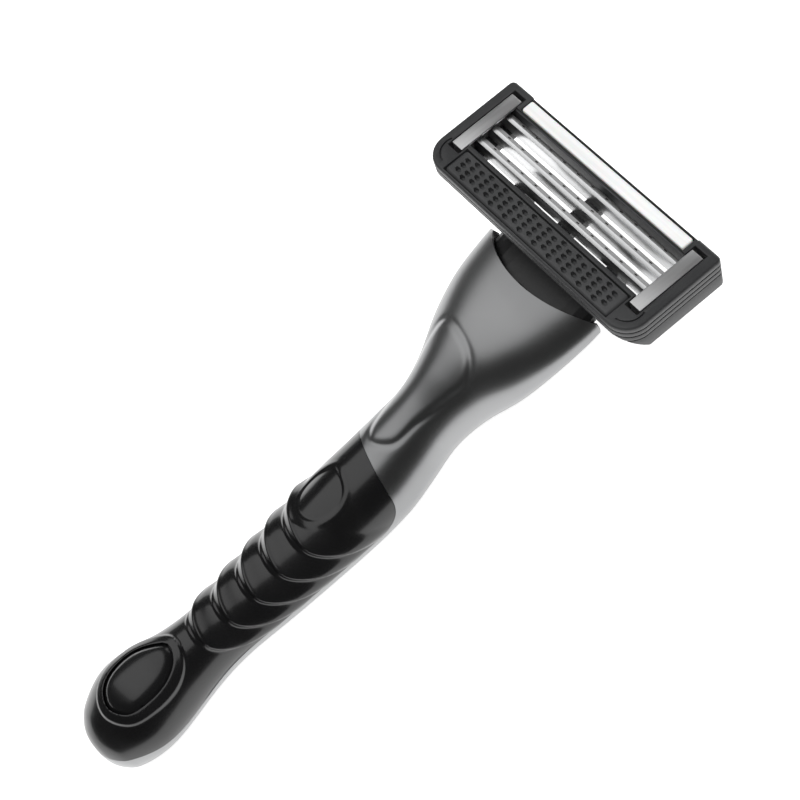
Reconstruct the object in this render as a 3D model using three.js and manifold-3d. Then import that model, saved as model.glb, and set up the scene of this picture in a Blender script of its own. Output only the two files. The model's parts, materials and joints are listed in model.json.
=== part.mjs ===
// Cartridge razor: a cast metal handle with a moulded grip, and a pivoting three-blade cartridge.
// Millimetres, +Z up. The razor lies on the flat of its back: +X runs across the blades,
// +Y from the butt to the head. The origin is the middle of the footprint, on that flat.
import * as THREE from 'three';
import { mergeVertices } from 'three/addons/utils/BufferGeometryUtils.js';
import Module from 'manifold-3d';

const wasm = await Module();
wasm.setup();

// ---------------------------------------------------------------- driving dimensions
const SEAT_GAP = 0.3;            // between pieces that sit against each other
const RUN_GAP = 0.1;             // radial clearance of a turning or sliding fit

// Handle
const BUTT_LENGTH = 13;          // rounded end, up to where the ribbed grip begins
const GRIP_LENGTH = 42;          // ribbed, nearly straight part
const NECK_LENGTH = 36;          // from the end of the ribbed part to the mouth
const WALL = 1.3;                // casting wall around the mouth
const PARTING_HEIGHT = 5.4;      // joint between the grip and the casting, above the flat back
const PARTING_RISE = 2.2;        // the joint climbs by this around the butt
const GRIP_CORNER = 4.4;         // radius where the joint turns from the side to the head end
const GRIP_END_SLANT = 0.3;      // the grip's head end runs aslant: mm along Y per mm of X
const RIB_COUNT = 5;
const RIB_PITCH = 4.75;
const RIB_STEP = 0.6;           // height of each scale above the next
const RIBS_SETBACK = 7.6;        // from the butt's rounded end to the first rib
const GRIP_LAP = 0.9;            // the grip runs past its ribbed part by this
const WEIGHT_SETBACK = 6;        // from the butt's rounded end to the balance weight
const WEIGHT_RADIUS = 2.2;
const WEIGHT_LENGTH = 32;
const SCREW_HEAD_RADIUS = 1.7;
const SCREW_SHANK_RADIUS = 0.9;
const SCREW_HEAD = 1.4;
const SCREW_BOTTOM = 1.6;        // height of the screw's lower end
const DRIVER_SLOT = 0.6;         // width and depth
const INLAY_LENGTH = 12;
const INLAY_WIDTH = 8.4;
const INLAY_THICKNESS = 1.2;
const INLAY_SETBACK = 1.8;       // from the rounded end back to the inlay's middle

// Mouth, release and docking
const SCOOP_RADIUS = 20;         // the front lip of the mouth is scooped out by a round
const SCOOP_DEPTH = 4;
const INSERT_LENGTH = 11;
const PRONG_LENGTH = 11.5;
const PRONG_WIDTH = 2.4;
const PRONG_HEIGHT = 2.6;
const PRONG_SPACING = 7.2;       // between the centres of the two prongs
const PRONG_BOTTOM = 11.7;       // height above the flat back
const PLUNGER_RADIUS = 0.9;
const COLLAR_RADIUS = 1.5;
const COLLAR_LENGTH = 1;
const COLLAR_SETBACK = 5;        // from the insert's front back to the plunger's collar
const PLUNGER_TRAVEL = 1.1;
const EJECT_TRAVEL = 2.5;
const BUTTON_WIDTH = 6.4;
const BUTTON_LENGTH = 7;
const PAD_PROUD = 1.1;           // the thumb pad stands out of the neck by this
const PAD_EDGE = 2;              // the pad stays this far below the neck's centre line
const POST_WIDTH = 3;
const POST_LENGTH = 2.4;
const POST_SETBACK = 1.2;        // from the pad's far end to the post
const CROSSPIECE_DROP = 0.8;     // the crosspiece hangs below the fingers by this
const CROSSPIECE_HEADROOM = 1.4;
const FINGER_LENGTH = 2.7;
const SPRING_SPACE = 3.4;        // behind the post, for the front of the release spring
const SPRING_POCKET = 5;         // behind that, for the rest of it
const RELEASE_SPRING_DROP = 1.6; // below the middle of the fingers
const RELEASE_COIL = 1.3;        // radius of the wire's path
const PLUNGER_COIL = 1.2;
const COIL_WIRE = 0.2;           // radius of the wire
const COIL_TURNS = 5;

// Yoke and pivot
const CROSS_BAR = 1.8;
const ARM_WIDTH = 1.6;
const WEB_INSET = 0.4;           // an arm starts this far into the cross bar
const WEB_RISE = 1;              // and this far above its underside
const WEB_DROP = 0.2;            // and ends this far below the pivot
const BOSS_WALL = 0.7;
const NOTCH_HALF = 2.4;
const YOKE_TOP = 16.2;
const TRUNNION_RADIUS = 1.2;
const TRUNNION_SHORT = 0.2;      // a trunnion stops this far inside its ear
const PIVOT_REACH = 3.8;         // from the mouth to the pivot
const PIVOT_Z = 17.2;
const CAM_ARM = 2;               // the plunger pushes this far below the pivot
const TAB_SETBACK = 2.1;         // from the pivot back to the face that the plunger presses

// Cartridge
const CARTRIDGE_WIDTH = 42;
const CARTRIDGE_DEPTH = 6;
const UNDER_TAPER = 3.8;         // the underside slopes up to the guard side over this depth
const STRIP_CORNER = 0.8;
const GUARD_CORNER = 3.4;
const EDGE_BEVEL = 0.45;
const FACE_TILT = 9.5;           // degrees between the face and the handle's back
const END_WALL = 3.9;            // from each end of the cartridge to the window
const STRIP_INSET = 0.9;         // the strip is shorter than the window by this at each end
const STRIP_WIDTH = 1.95;
const STRIP_THICKNESS = 1.5;
const STRIP_PROUD = 0.1;
const STRIP_BEVEL = 0.25;
const STRIP_LAND = 0.5;          // plastic between the window and the strip
const RAIL = 0.3;                // plastic edge outside the strip
const BLADE_COUNT = 3;
const BLADE_PITCH = 2.57;
const BLADE_WIDTH = 1.25;
const BLADE_THICKNESS = 0.12;
const BLADE_ANGLE = 22;          // degrees between a blade and the face
const BLADE_BEVEL = 0.35;
const EDGE_DEPTH = -0.45;        // height of the edges, below the clips
const BLADE_TRAVEL = 0.3;        // each blade gives this much under the skin's pressure
const CARRIER_THICKNESS = 0.3;
const CARRIER_LEG = 3;
const CARRIER_SETBACK = 0.05;    // from the edge to the carrier's bend
const BEND_ROOT = 0.12;
const WELD_GAP = 0.05;
const SPRING_FINGER_ROOM = 1.3;  // under the carriers, for the fingers that press them up
const BLADE_LEAD = 1.75;         // from the window's strip side to the first edge
const BLADE_TAIL = 1.35;         // from the last edge to the window's guard side
const BLADE_END = 1.5;           // how far a blade reaches into the end wall's pocket
const CLIP_WIDTH = 2.15;
const CLIP_LEDGE = 1.35;         // how far a clip reaches past the window at each end
const CLIP_THICKNESS = 0.35;
const CLIP_SLOT = 0.65;          // gap beyond each end of a clip
const GUARD_INSET = 0.5;         // the guard is shorter than the window by this at each end
const GUARD_WIDTH = 4.1;
const GUARD_THICKNESS = 1.5;
const GUARD_PROUD = 0.15;
const GUARD_BEVEL = 0.3;
const BAR_CORNER = 0.5;          // of the strip and of the guard, seen from above
const GUARD_LAND = 0.75;         // plastic between the window and the guard
const GUARD_LIP = 0.25;          // plastic edge outside the guard
const RIB_WIDTH = 2.6;           // bar across the middle of the window
const EAR_WIDTH = 2.2;
const EAR_SPACING = 19;          // between the centres of the two hinge ears
const EAR_WALL = 0.9;
const FOOT_DEPTH = 0.8;          // an ear's foot hangs below the underside by this
const TAB_HALF = 1.3;
const TAB_BACK = 1.2;            // the cam tab reaches this far back of the pivot
const TAB_FRONT = 0.4;
const TAB_BELOW = 0.9;
const PIVOT_LOCAL_Y = -3.5;      // the pivot seen from the middle of the face
const PIVOT_LOCAL_Z = -8;

// ---------------------------------------------------------------- solids and meshes
const ROUND = 24;                // sides of a small round
const LARGE_ROUND = 40;
const SKIN_SIDES = 28;
const RING_SPACING = 2;          // along the handle's skin
const RIBBED_SPACING = 1.1;
const FINE_CURVE = 10;           // segments of an outline's curve
const PLAIN_CURVE = 6;
const COARSE_CURVE = 2;
const MERGE = 0.5;               // joined solids run into each other by this
const OVER = 1;                  // a cutter reaches this far past what it cuts

function solidOf(geometry) {
  const bare = geometry.index ? geometry.clone() : geometry;
  for (const name of ['normal', 'uv']) bare.deleteAttribute(name);
  const merged = mergeVertices(bare, 1e-4);
  return new wasm.Manifold(new wasm.Mesh({
    numProp: 3,
    vertProperties: new Float32Array(merged.attributes.position.array),
    triVerts: new Uint32Array(merged.index.array),
  }));
}

function geometryOf(solid) {
  const { vertProperties, triVerts } = solid.getMesh();
  const geometry = new THREE.BufferGeometry();
  geometry.setAttribute('position', new THREE.BufferAttribute(vertProperties, 3));
  geometry.setIndex(new THREE.BufferAttribute(triVerts, 1));
  return geometry;
}

// A box given by its lowest and highest corners.
function block([x0, y0, z0], [x1, y1, z1]) {
  const box = new THREE.BoxGeometry(x1 - x0, y1 - y0, z1 - z0);
  return solidOf(box.translate((x0 + x1) / 2, (y0 + y1) / 2, (z0 + z1) / 2));
}

// A round bar along X, Y or Z, between two places on that axis.
function bar(axis, radius, from, to, [u, v], sides = ROUND) {
  const cylinder = new THREE.CylinderGeometry(radius, radius, to - from, sides);
  const middle = (from + to) / 2;
  if (axis === 'x') cylinder.rotateZ(Math.PI / 2).translate(middle, u, v);
  if (axis === 'y') cylinder.translate(u, middle, v);
  if (axis === 'z') cylinder.rotateX(Math.PI / 2).translate(u, v, middle);
  return solidOf(cylinder);
}

// A flat outline in X and Y, extruded along Z with an optional edge bevel inside its size.
function plate(shape, bottom, top, bevel = 0, curveSegments = PLAIN_CURVE) {
  const geometry = new THREE.ExtrudeGeometry(shape, {
    depth: top - bottom - 2 * bevel,
    bevelEnabled: bevel > 0,
    bevelThickness: bevel,
    bevelSize: bevel,
    bevelOffset: -bevel,
    bevelSegments: 2,
    curveSegments,
  });
  return solidOf(geometry.translate(0, 0, bottom + bevel));
}

// A flat outline in Y and Z, extruded along X and centred on X = 0.
function crosswise(shape, length, curveSegments = PLAIN_CURVE) {
  const geometry = new THREE.ExtrudeGeometry(
    shape, { depth: length, bevelEnabled: false, curveSegments });
  const turn = new THREE.Matrix4().makeBasis(
    new THREE.Vector3(0, 1, 0), new THREE.Vector3(0, 0, 1), new THREE.Vector3(1, 0, 0));
  return geometry.applyMatrix4(turn).translate(-length / 2, 0, 0);
}

function coil(radius, from, to, [x, z]) {
  class Helix extends THREE.Curve {
    getPoint(t, target = new THREE.Vector3()) {
      const angle = 2 * Math.PI * COIL_TURNS * t;
      return target.set(
        x + radius * Math.cos(angle), from + (to - from) * t, z + radius * Math.sin(angle));
    }
  }
  const section = new THREE.Shape().absarc(0, 0, COIL_WIRE, 0, 2 * Math.PI);
  return solidOf(new THREE.ExtrudeGeometry(section, {
    steps: COIL_TURNS * FINE_CURVE, curveSegments: 3, extrudePath: new Helix(),
  }));
}

const METAL = { color: 0x8d8f91, roughness: 0.35, metalness: 0.9 };
const GRIP_BLACK = { color: 0x101011, roughness: 0.25, metalness: 0 };
const PLASTIC = { color: 0x3a3b3d, roughness: 0.5, metalness: 0 };
const BLACK_PLASTIC = { color: 0x141415, roughness: 0.45, metalness: 0 };
const STEEL = { color: 0xc9cbcd, roughness: 0.3, metalness: 1 };
const GEL = { color: 0xeeeeec, roughness: 0.4, metalness: 0 };
const RUBBER = { color: 0x47484a, roughness: 0.7, metalness: 0 };

const razor = new THREE.Group();
const cartridge = new THREE.Group();
razor.add(cartridge);

function addPiece(group, name, solid, finish) {
  const mesh = new THREE.Mesh(geometryOf(solid), new THREE.MeshStandardMaterial(finish));
  mesh.name = name;
  group.add(mesh);
}

// ---------------------------------------------------------------- handle form
// Cross-sections are ellipses. Each row: place along Y, centre height, half width, half depth.
const GRIP_END = BUTT_LENGTH + GRIP_LENGTH;
const MOUTH = GRIP_END + NECK_LENGTH;
const grip = (share) => BUTT_LENGTH + GRIP_LENGTH * share;
const neck = (share) => GRIP_END + NECK_LENGTH * share;
const SECTIONS = [
  [0, 5.2, 2.2, 2.0],
  [0.8, 5.3, 4.0, 3.6],
  [3, 5.6, 6.1, 5.2],
  [8, 6.5, 7.5, 6.5],
  [BUTT_LENGTH, 6.5, 6.9, 6.6],
  [grip(0.12), 5.9, 5.6, 6.0],
  [grip(0.26), 5.6, 5.0, 5.7],
  [grip(0.5), 5.4, 5.8, 5.8],
  [grip(0.85), 5.9, 6.8, 6.6],
  [GRIP_END, 6.1, 6.7, 6.5],
  [neck(0.14), 7.0, 6.2, 6.2],
  [neck(0.3), 8.5, 5.7, 5.9],
  [neck(0.44), 9.8, 6.7, 6.1],
  [neck(0.6), 11.3, 9.2, 6.1],
  [neck(0.76), 12.8, 10.8, 5.3],
  [neck(0.92), 13.6, 11.5, 4.6],
  [MOUTH, 14.0, 11.6, 4.3],
];
const sectionAt = new THREE.CubicInterpolant(
  SECTIONS.map((row) => row[0]), SECTIONS.flatMap((row) => row.slice(1)), 3);

// The ribbed part is stepped like overlapping scales, each one rising towards the head.
const RIBS_START = BUTT_LENGTH + RIBS_SETBACK;
function ribHeight(y) {
  const turn = (y - RIBS_START) / RIB_PITCH;
  if (turn < 0 || turn >= RIB_COUNT) return 0;
  return RIB_STEP * (1 - (turn % 1));
}

// The handle's outer skin between two places, drawn in by an inset.
function handleLoft(from, to, inset, ribbed = false) {
  const rings = Math.ceil((to - from) / (ribbed ? RIBBED_SPACING : RING_SPACING));
  const skin = new THREE.CylinderGeometry(1, 1, 1, SKIN_SIDES, rings);
  const places = skin.attributes.position;
  for (let i = 0; i < places.count; i += 1) {
    const y = from + (to - from) * (places.getY(i) + 0.5);
    const [height, halfWidth, halfDepth] = sectionAt.evaluate(y);
    const grow = (ribbed ? ribHeight(y) : 0) - inset;
    const x = places.getX(i) * (halfWidth + grow);
    const z = height + places.getZ(i) * (halfDepth + grow);
    places.setXYZ(i, x, y, z);
  }
  return solidOf(skin);
}

const FAR = 100;                 // larger than anything it cuts
const aboveFlat = block([-FAR, -FAR, 0], [FAR, 2 * FAR, FAR]);
const smoothSkin = handleLoft(0, MOUTH, 0).intersect(aboveFlat);
const GRIP_SPARE = 5;            // the ribbed skin runs past the slanted end that trims it
const ribbedSkin = handleLoft(0, GRIP_END + GRIP_SPARE, 0, true);

const CLIMB_START = BUTT_LENGTH * 1.5;
const CLIMB_END = BUTT_LENGTH * 0.3;

// Space taken by the grip: above the parting, which climbs around the butt, and behind the
// slanted head end, which turns into the parting with a rounded corner.
function gripSpace(gap) {
  const low = PARTING_HEIGHT - gap;
  const high = low + PARTING_RISE;
  const end = GRIP_END + GRIP_LAP + gap;
  const outline = new THREE.Shape();
  outline.moveTo(-FAR, high);
  outline.lineTo(CLIMB_END, high);
  outline.bezierCurveTo(BUTT_LENGTH - CLIMB_END / 2, high, BUTT_LENGTH, low, CLIMB_START, low);
  outline.lineTo(end - GRIP_CORNER, low);
  outline.absarc(end - GRIP_CORNER, low + GRIP_CORNER, GRIP_CORNER, -Math.PI / 2, 0);
  outline.lineTo(end, FAR);
  outline.lineTo(-FAR, FAR);
  const slant = new THREE.Matrix4().makeShear(-GRIP_END_SLANT, 0, 0, 0, 0, 0);
  return solidOf(crosswise(outline, FAR, FINE_CURVE).applyMatrix4(slant));
}

// ---------------------------------------------------------------- handle pieces
const WEIGHT_START = BUTT_LENGTH + WEIGHT_SETBACK;
const WEIGHT_HEIGHT = PARTING_HEIGHT;
const weightChannel = bar('y', WEIGHT_RADIUS + SEAT_GAP, WEIGHT_START - SEAT_GAP,
  WEIGHT_START + WEIGHT_LENGTH + SEAT_GAP, [0, WEIGHT_HEIGHT]);

// Inlay on the butt, in a shallow pocket, over the screw that holds the grip down.
const INLAY_CENTRE = BUTT_LENGTH - INLAY_SETBACK;
function inlayOutline(grow) {
  return new THREE.Shape().absellipse(
    0, INLAY_CENTRE, INLAY_WIDTH / 2 + grow, INLAY_LENGTH / 2 + grow, 0, 2 * Math.PI);
}
const inlaySurface = sectionAt.evaluate(INLAY_CENTRE);
const INLAY_TOP = inlaySurface[0] + inlaySurface[2];
const inlayForm = plate(inlayOutline(0), 0, FAR, 0, FINE_CURVE)
  .intersect(handleLoft(0, GRIP_END, 0))
  .subtract(handleLoft(0, GRIP_END, INLAY_THICKNESS));
const INLAY_LOWEST = PARTING_HEIGHT + OVER;
const inlayPiece = inlayForm.intersect(block([-FAR, 0, INLAY_LOWEST], [FAR, FAR, FAR]));
const inlayPocket = plate(inlayOutline(SEAT_GAP), INLAY_LOWEST - SEAT_GAP, FAR, 0, FINE_CURVE)
  .subtract(handleLoft(0, GRIP_END, INLAY_THICKNESS + SEAT_GAP));

const SCREW_TOP = INLAY_TOP - INLAY_THICKNESS - 2 * SEAT_GAP;
function screwForm(gap) {
  const head = bar('z', SCREW_HEAD_RADIUS + gap, SCREW_TOP - SCREW_HEAD - gap,
    SCREW_TOP + (gap ? FAR : 0), [0, INLAY_CENTRE]);
  const shank = bar('z', SCREW_SHANK_RADIUS + gap, SCREW_BOTTOM - gap,
    SCREW_TOP - SCREW_HEAD / 2, [0, INLAY_CENTRE]);
  return head.add(shank);
}
const driverSlot = block([-FAR, INLAY_CENTRE - DRIVER_SLOT / 2, SCREW_TOP - DRIVER_SLOT],
  [FAR, INLAY_CENTRE + DRIVER_SLOT / 2, FAR]);

const gripCover = ribbedSkin.intersect(gripSpace(0))
  .subtract(weightChannel)
  .subtract(inlayPocket)
  .subtract(screwForm(SEAT_GAP));

// Places along the docking axis, from the mouth inwards: the yoke's prongs, then the release
// button's fingers, its post and its spring.
const YOKE_BACK = MOUTH + SEAT_GAP;
const PRONG_START = YOKE_BACK - PRONG_LENGTH;
const FINGER_END = PRONG_START - EJECT_TRAVEL - SEAT_GAP;
const POST_END = FINGER_END - FINGER_LENGTH;
const POST_START = POST_END - POST_LENGTH;
const BUTTON_START = POST_START - POST_SETBACK;
const BUTTON_END = BUTTON_START + BUTTON_LENGTH;
const CAVITY_START = POST_START - SPRING_SPACE;

// Mouth of the neck: a cavity open at the head, with the front lip scooped out.
const cavity = handleLoft(CAVITY_START, MOUTH, WALL)
  .add(handleLoft(MOUTH - OVER, MOUTH + 3 * OVER, WALL));
const lipScoop = bar('z', SCOOP_RADIUS, sectionAt.evaluate(MOUTH)[0], FAR,
  [0, MOUTH - SCOOP_DEPTH + SCOOP_RADIUS], LARGE_ROUND);

// ---------------------------------------------------------------- docking and release
const PRONG_TOP = PRONG_BOTTOM + PRONG_HEIGHT;
const INSERT_END = YOKE_BACK - SEAT_GAP;
const INSERT_START = INSERT_END - INSERT_LENGTH;
const PIVOT_Y = MOUTH + PIVOT_REACH;
const PLUNGER_Z = PIVOT_Z - CAM_ARM;
const PLUNGER_TIP = PIVOT_Y - TAB_SETBACK;
const COLLAR_START = INSERT_END - COLLAR_SETBACK;

function prong(side, from, to, gap) {
  const x = side * PRONG_SPACING / 2;
  return block([x - PRONG_WIDTH / 2 - gap, from, PRONG_BOTTOM - gap],
    [x + PRONG_WIDTH / 2 + gap, to, PRONG_TOP + gap]);
}

const insert = handleLoft(INSERT_START, INSERT_END, WALL + SEAT_GAP)
  .subtract(prong(-1, 0, MOUTH + OVER, SEAT_GAP))
  .subtract(prong(1, 0, MOUTH + OVER, SEAT_GAP))
  .subtract(bar('y', PLUNGER_RADIUS + RUN_GAP, 0, MOUTH + OVER, [0, PLUNGER_Z]))
  .subtract(bar('y', COLLAR_RADIUS + SEAT_GAP, 0, COLLAR_START + COLLAR_LENGTH + SEAT_GAP,
    [0, PLUNGER_Z]));

const plunger = bar('y', PLUNGER_RADIUS, COLLAR_START, PLUNGER_TIP - PLUNGER_RADIUS, [0, PLUNGER_Z])
  .add(solidOf(new THREE.SphereGeometry(PLUNGER_RADIUS, ROUND, 10)
    .translate(0, PLUNGER_TIP - PLUNGER_RADIUS, PLUNGER_Z)))
  .add(bar('y', COLLAR_RADIUS, COLLAR_START, COLLAR_START + COLLAR_LENGTH, [0, PLUNGER_Z]));
const PLUNGER_SPRING_START = INSERT_START + PLUNGER_TRAVEL + 2 * SEAT_GAP;

// Thumb button on the back of the neck, with two fingers that push the prongs out.
const buttonSection = sectionAt.evaluate(BUTTON_START + BUTTON_LENGTH / 2);
const BUTTON_FLOOR = buttonSection[0] - buttonSection[2];
const buttonPad = block([-BUTTON_WIDTH / 2, BUTTON_START, BUTTON_FLOOR - 2 * PAD_PROUD],
  [BUTTON_WIDTH / 2, BUTTON_END, FAR])
  .intersect(handleLoft(BUTTON_START - 2 * OVER, BUTTON_END + 2 * OVER, -PAD_PROUD - SEAT_GAP))
  .subtract(handleLoft(BUTTON_START - 4 * OVER, BUTTON_END + 4 * OVER, -SEAT_GAP))
  .intersect(block([-FAR, 0, 0], [FAR, FAR, buttonSection[0] - PAD_EDGE]));
const crosspiece = block(
  [-PRONG_SPACING / 2 - PRONG_WIDTH / 2 + SEAT_GAP, POST_START, PRONG_BOTTOM - CROSSPIECE_DROP],
  [PRONG_SPACING / 2 + PRONG_WIDTH / 2 - SEAT_GAP, POST_END, PRONG_TOP - CROSSPIECE_HEADROOM]);
const buttonPost = block([-POST_WIDTH / 2, POST_START, BUTTON_FLOOR - SEAT_GAP - MERGE],
  [POST_WIDTH / 2, POST_END, PRONG_TOP - CROSSPIECE_HEADROOM]);
const fingers = [-1, 1].map((side) => prong(side, POST_END - MERGE, FINGER_END, -SEAT_GAP));
const slidingRoom = handleLoft(CAVITY_START, MOUTH, WALL + RUN_GAP);
const slider = crosspiece.add(fingers[0]).add(fingers[1]).intersect(slidingRoom);
const releaseButton = buttonPad.add(buttonPost).add(slider);
const buttonSlot = block([-POST_WIDTH / 2 - SEAT_GAP, POST_START - SEAT_GAP, 0],
  [POST_WIDTH / 2 + SEAT_GAP, POST_END + EJECT_TRAVEL + SEAT_GAP, buttonSection[0]]);
const BUTTON_SPRING_Z = PRONG_BOTTOM + PRONG_HEIGHT / 2 - RELEASE_SPRING_DROP;
const springRoom = bar('y', RELEASE_COIL + COIL_WIRE + SEAT_GAP + RUN_GAP,
  CAVITY_START - SPRING_POCKET, CAVITY_START + 2 * OVER, [0, BUTTON_SPRING_Z]);

const handleBody = smoothSkin
  .subtract(gripSpace(SEAT_GAP))
  .subtract(weightChannel)
  .subtract(screwForm(SEAT_GAP))
  .subtract(cavity)
  .subtract(springRoom)
  .subtract(lipScoop)
  .subtract(buttonSlot);

// Yoke: two prongs, a cross bar, and two arms that carry the pivot's trunnions.
const ARM_OUT = EAR_SPACING / 2 - EAR_WIDTH / 2 - SEAT_GAP;
const YOKE_FRONT = YOKE_BACK + CROSS_BAR;
const crossBar = block([-ARM_OUT, YOKE_BACK, PRONG_BOTTOM], [ARM_OUT, YOKE_FRONT, YOKE_TOP])
  .subtract(block([-NOTCH_HALF, 0, PLUNGER_Z - PLUNGER_RADIUS - SEAT_GAP], [NOTCH_HALF, FAR, FAR]));
function yokeArm(side) {
  const inner = side * (ARM_OUT - ARM_WIDTH);
  const outer = side * ARM_OUT;
  const low = Math.min(inner, outer);
  const high = Math.max(inner, outer);
  const boss = bar('x', TRUNNION_RADIUS + BOSS_WALL, low, high, [PIVOT_Y, PIVOT_Z]);
  const web = block([low, YOKE_BACK + WEB_INSET, PRONG_BOTTOM + WEB_RISE],
    [high, PIVOT_Y, PIVOT_Z - WEB_DROP]);
  const tip = outer + side * (SEAT_GAP + EAR_WIDTH - TRUNNION_SHORT);
  const trunnion = bar('x', TRUNNION_RADIUS, Math.min(inner, tip), Math.max(inner, tip),
    [PIVOT_Y, PIVOT_Z]);
  return boss.add(web).add(trunnion);
}
const yoke = crossBar
  .add(prong(-1, PRONG_START, YOKE_BACK + MERGE, 0))
  .add(prong(1, PRONG_START, YOKE_BACK + MERGE, 0))
  .add(yokeArm(-1))
  .add(yokeArm(1));

addPiece(razor, 'handle_body', handleBody, METAL);
addPiece(razor, 'grip_cover', gripCover, GRIP_BLACK);
addPiece(razor, 'butt_inlay', inlayPiece, GRIP_BLACK);
addPiece(razor, 'grip_screw', screwForm(0).subtract(driverSlot), STEEL);
addPiece(razor, 'balance_weight', bar('y', WEIGHT_RADIUS, WEIGHT_START,
  WEIGHT_START + WEIGHT_LENGTH, [0, WEIGHT_HEIGHT]), STEEL);
addPiece(razor, 'head_insert', insert, BLACK_PLASTIC);
addPiece(razor, 'plunger', plunger, BLACK_PLASTIC);
addPiece(razor, 'plunger_spring', coil(PLUNGER_COIL, PLUNGER_SPRING_START + SEAT_GAP,
  COLLAR_START - SEAT_GAP - COIL_WIRE, [0, PLUNGER_Z]), STEEL);
addPiece(razor, 'release_button', releaseButton, BLACK_PLASTIC);
addPiece(razor, 'release_spring', coil(RELEASE_COIL, CAVITY_START - SPRING_POCKET + 2 * SEAT_GAP,
  POST_START - SEAT_GAP - COIL_WIRE, [0, BUTTON_SPRING_Z]), STEEL);
addPiece(razor, 'pivot_yoke', yoke, BLACK_PLASTIC);

// ---------------------------------------------------------------- cartridge
// Its own frame: X across, Y from the guard to the strip, Z out of the shaving face, 0 at the face.
const HALF = CARTRIDGE_WIDTH / 2;
const WINDOW_WIDTH = CARTRIDGE_WIDTH - 2 * END_WALL;
const WINDOW_HEIGHT = BLADE_LEAD + (BLADE_COUNT - 1) * BLADE_PITCH + BLADE_TAIL;
const WINDOW_TOP = WINDOW_HEIGHT / 2;
const WINDOW_BOTTOM = -WINDOW_HEIGHT / 2;
const STRIP_LENGTH = WINDOW_WIDTH - 2 * STRIP_INSET;
const STRIP_BOTTOM = WINDOW_TOP + STRIP_LAND;
const FRAME_TOP = STRIP_BOTTOM + STRIP_WIDTH + SEAT_GAP + RAIL;
const GUARD_LENGTH = WINDOW_WIDTH - 2 * GUARD_INSET;
const GUARD_TOP = WINDOW_BOTTOM - GUARD_LAND;
const FRAME_BOTTOM = GUARD_TOP - GUARD_WIDTH - SEAT_GAP - GUARD_LIP;
const CLIP_SPAN = WINDOW_HEIGHT + 2 * CLIP_LEDGE;
const CLIP_X = WINDOW_WIDTH / 2 + CLIP_WIDTH / 2;
const POCKET_X = WINDOW_WIDTH / 2 + BLADE_END + SEAT_GAP + RUN_GAP;
const POCKET_FLOOR = -CARRIER_LEG - BLADE_TRAVEL - SPRING_FINGER_ROOM;

function frameOutline() {
  const small = STRIP_CORNER;
  const large = GUARD_CORNER;
  const shape = new THREE.Shape();
  shape.moveTo(-HALF + large, FRAME_BOTTOM);
  shape.lineTo(HALF - large, FRAME_BOTTOM);
  shape.absarc(HALF - large, FRAME_BOTTOM + large, large, -Math.PI / 2, 0);
  shape.absarc(HALF - small, FRAME_TOP - small, small, 0, Math.PI / 2);
  shape.absarc(-HALF + small, FRAME_TOP - small, small, Math.PI / 2, Math.PI);
  shape.absarc(-HALF + large, FRAME_BOTTOM + large, large, Math.PI, 1.5 * Math.PI);
  return shape;
}

const EDGE_BAND = CARTRIDGE_DEPTH - UNDER_TAPER;
const underTaper = solidOf(crosswise(new THREE.Shape([
  new THREE.Vector2(FRAME_BOTTOM - OVER, OVER - EDGE_BAND),
  new THREE.Vector2(FRAME_BOTTOM - OVER, -CARTRIDGE_DEPTH - OVER),
  new THREE.Vector2(FRAME_BOTTOM + UNDER_TAPER + OVER, -CARTRIDGE_DEPTH - OVER),
]), FAR));

function ear(side) {
  const inner = side * (EAR_SPACING - EAR_WIDTH) / 2;
  const outer = side * (EAR_SPACING + EAR_WIDTH) / 2;
  const low = Math.min(inner, outer);
  const high = Math.max(inner, outer);
  const radius = TRUNNION_RADIUS + RUN_GAP + EAR_WALL;
  const web = block([low, PIVOT_LOCAL_Y - radius, PIVOT_LOCAL_Z],
    [high, PIVOT_LOCAL_Y + radius, -CARTRIDGE_DEPTH + MERGE]);
  const foot = block([low, FRAME_BOTTOM + UNDER_TAPER, -CARTRIDGE_DEPTH - FOOT_DEPTH],
    [high, PIVOT_LOCAL_Y, -CARTRIDGE_DEPTH + MERGE]);
  const bore = bar('x', TRUNNION_RADIUS + RUN_GAP, low - OVER, high + OVER,
    [PIVOT_LOCAL_Y, PIVOT_LOCAL_Z]);
  return bar('x', radius, low, high, [PIVOT_LOCAL_Y, PIVOT_LOCAL_Z])
    .add(web).add(foot).subtract(bore);
}

// The cam tab under the frame, which the plunger presses to bring the cartridge back.
const tab = block([-TAB_HALF, PIVOT_LOCAL_Y - TAB_BACK, PIVOT_LOCAL_Z - CAM_ARM - TAB_BELOW],
  [TAB_HALF, PIVOT_LOCAL_Y + TAB_FRONT, -CARTRIDGE_DEPTH + MERGE])
  .add(block([-TAB_HALF, FRAME_BOTTOM + UNDER_TAPER, -CARTRIDGE_DEPTH - FOOT_DEPTH],
    [TAB_HALF, PIVOT_LOCAL_Y, -CARTRIDGE_DEPTH + MERGE]));

function clipSlot(side, end) {
  const y0 = end * (CLIP_SPAN / 2 - CLIP_THICKNESS - SEAT_GAP);
  const y1 = end * (CLIP_SPAN / 2 + CLIP_SLOT);
  return block(
    [side * CLIP_X - CLIP_WIDTH / 2 - SEAT_GAP, Math.min(y0, y1), -FAR],
    [side * CLIP_X + CLIP_WIDTH / 2 + SEAT_GAP, Math.max(y0, y1), FAR]);
}

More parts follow.
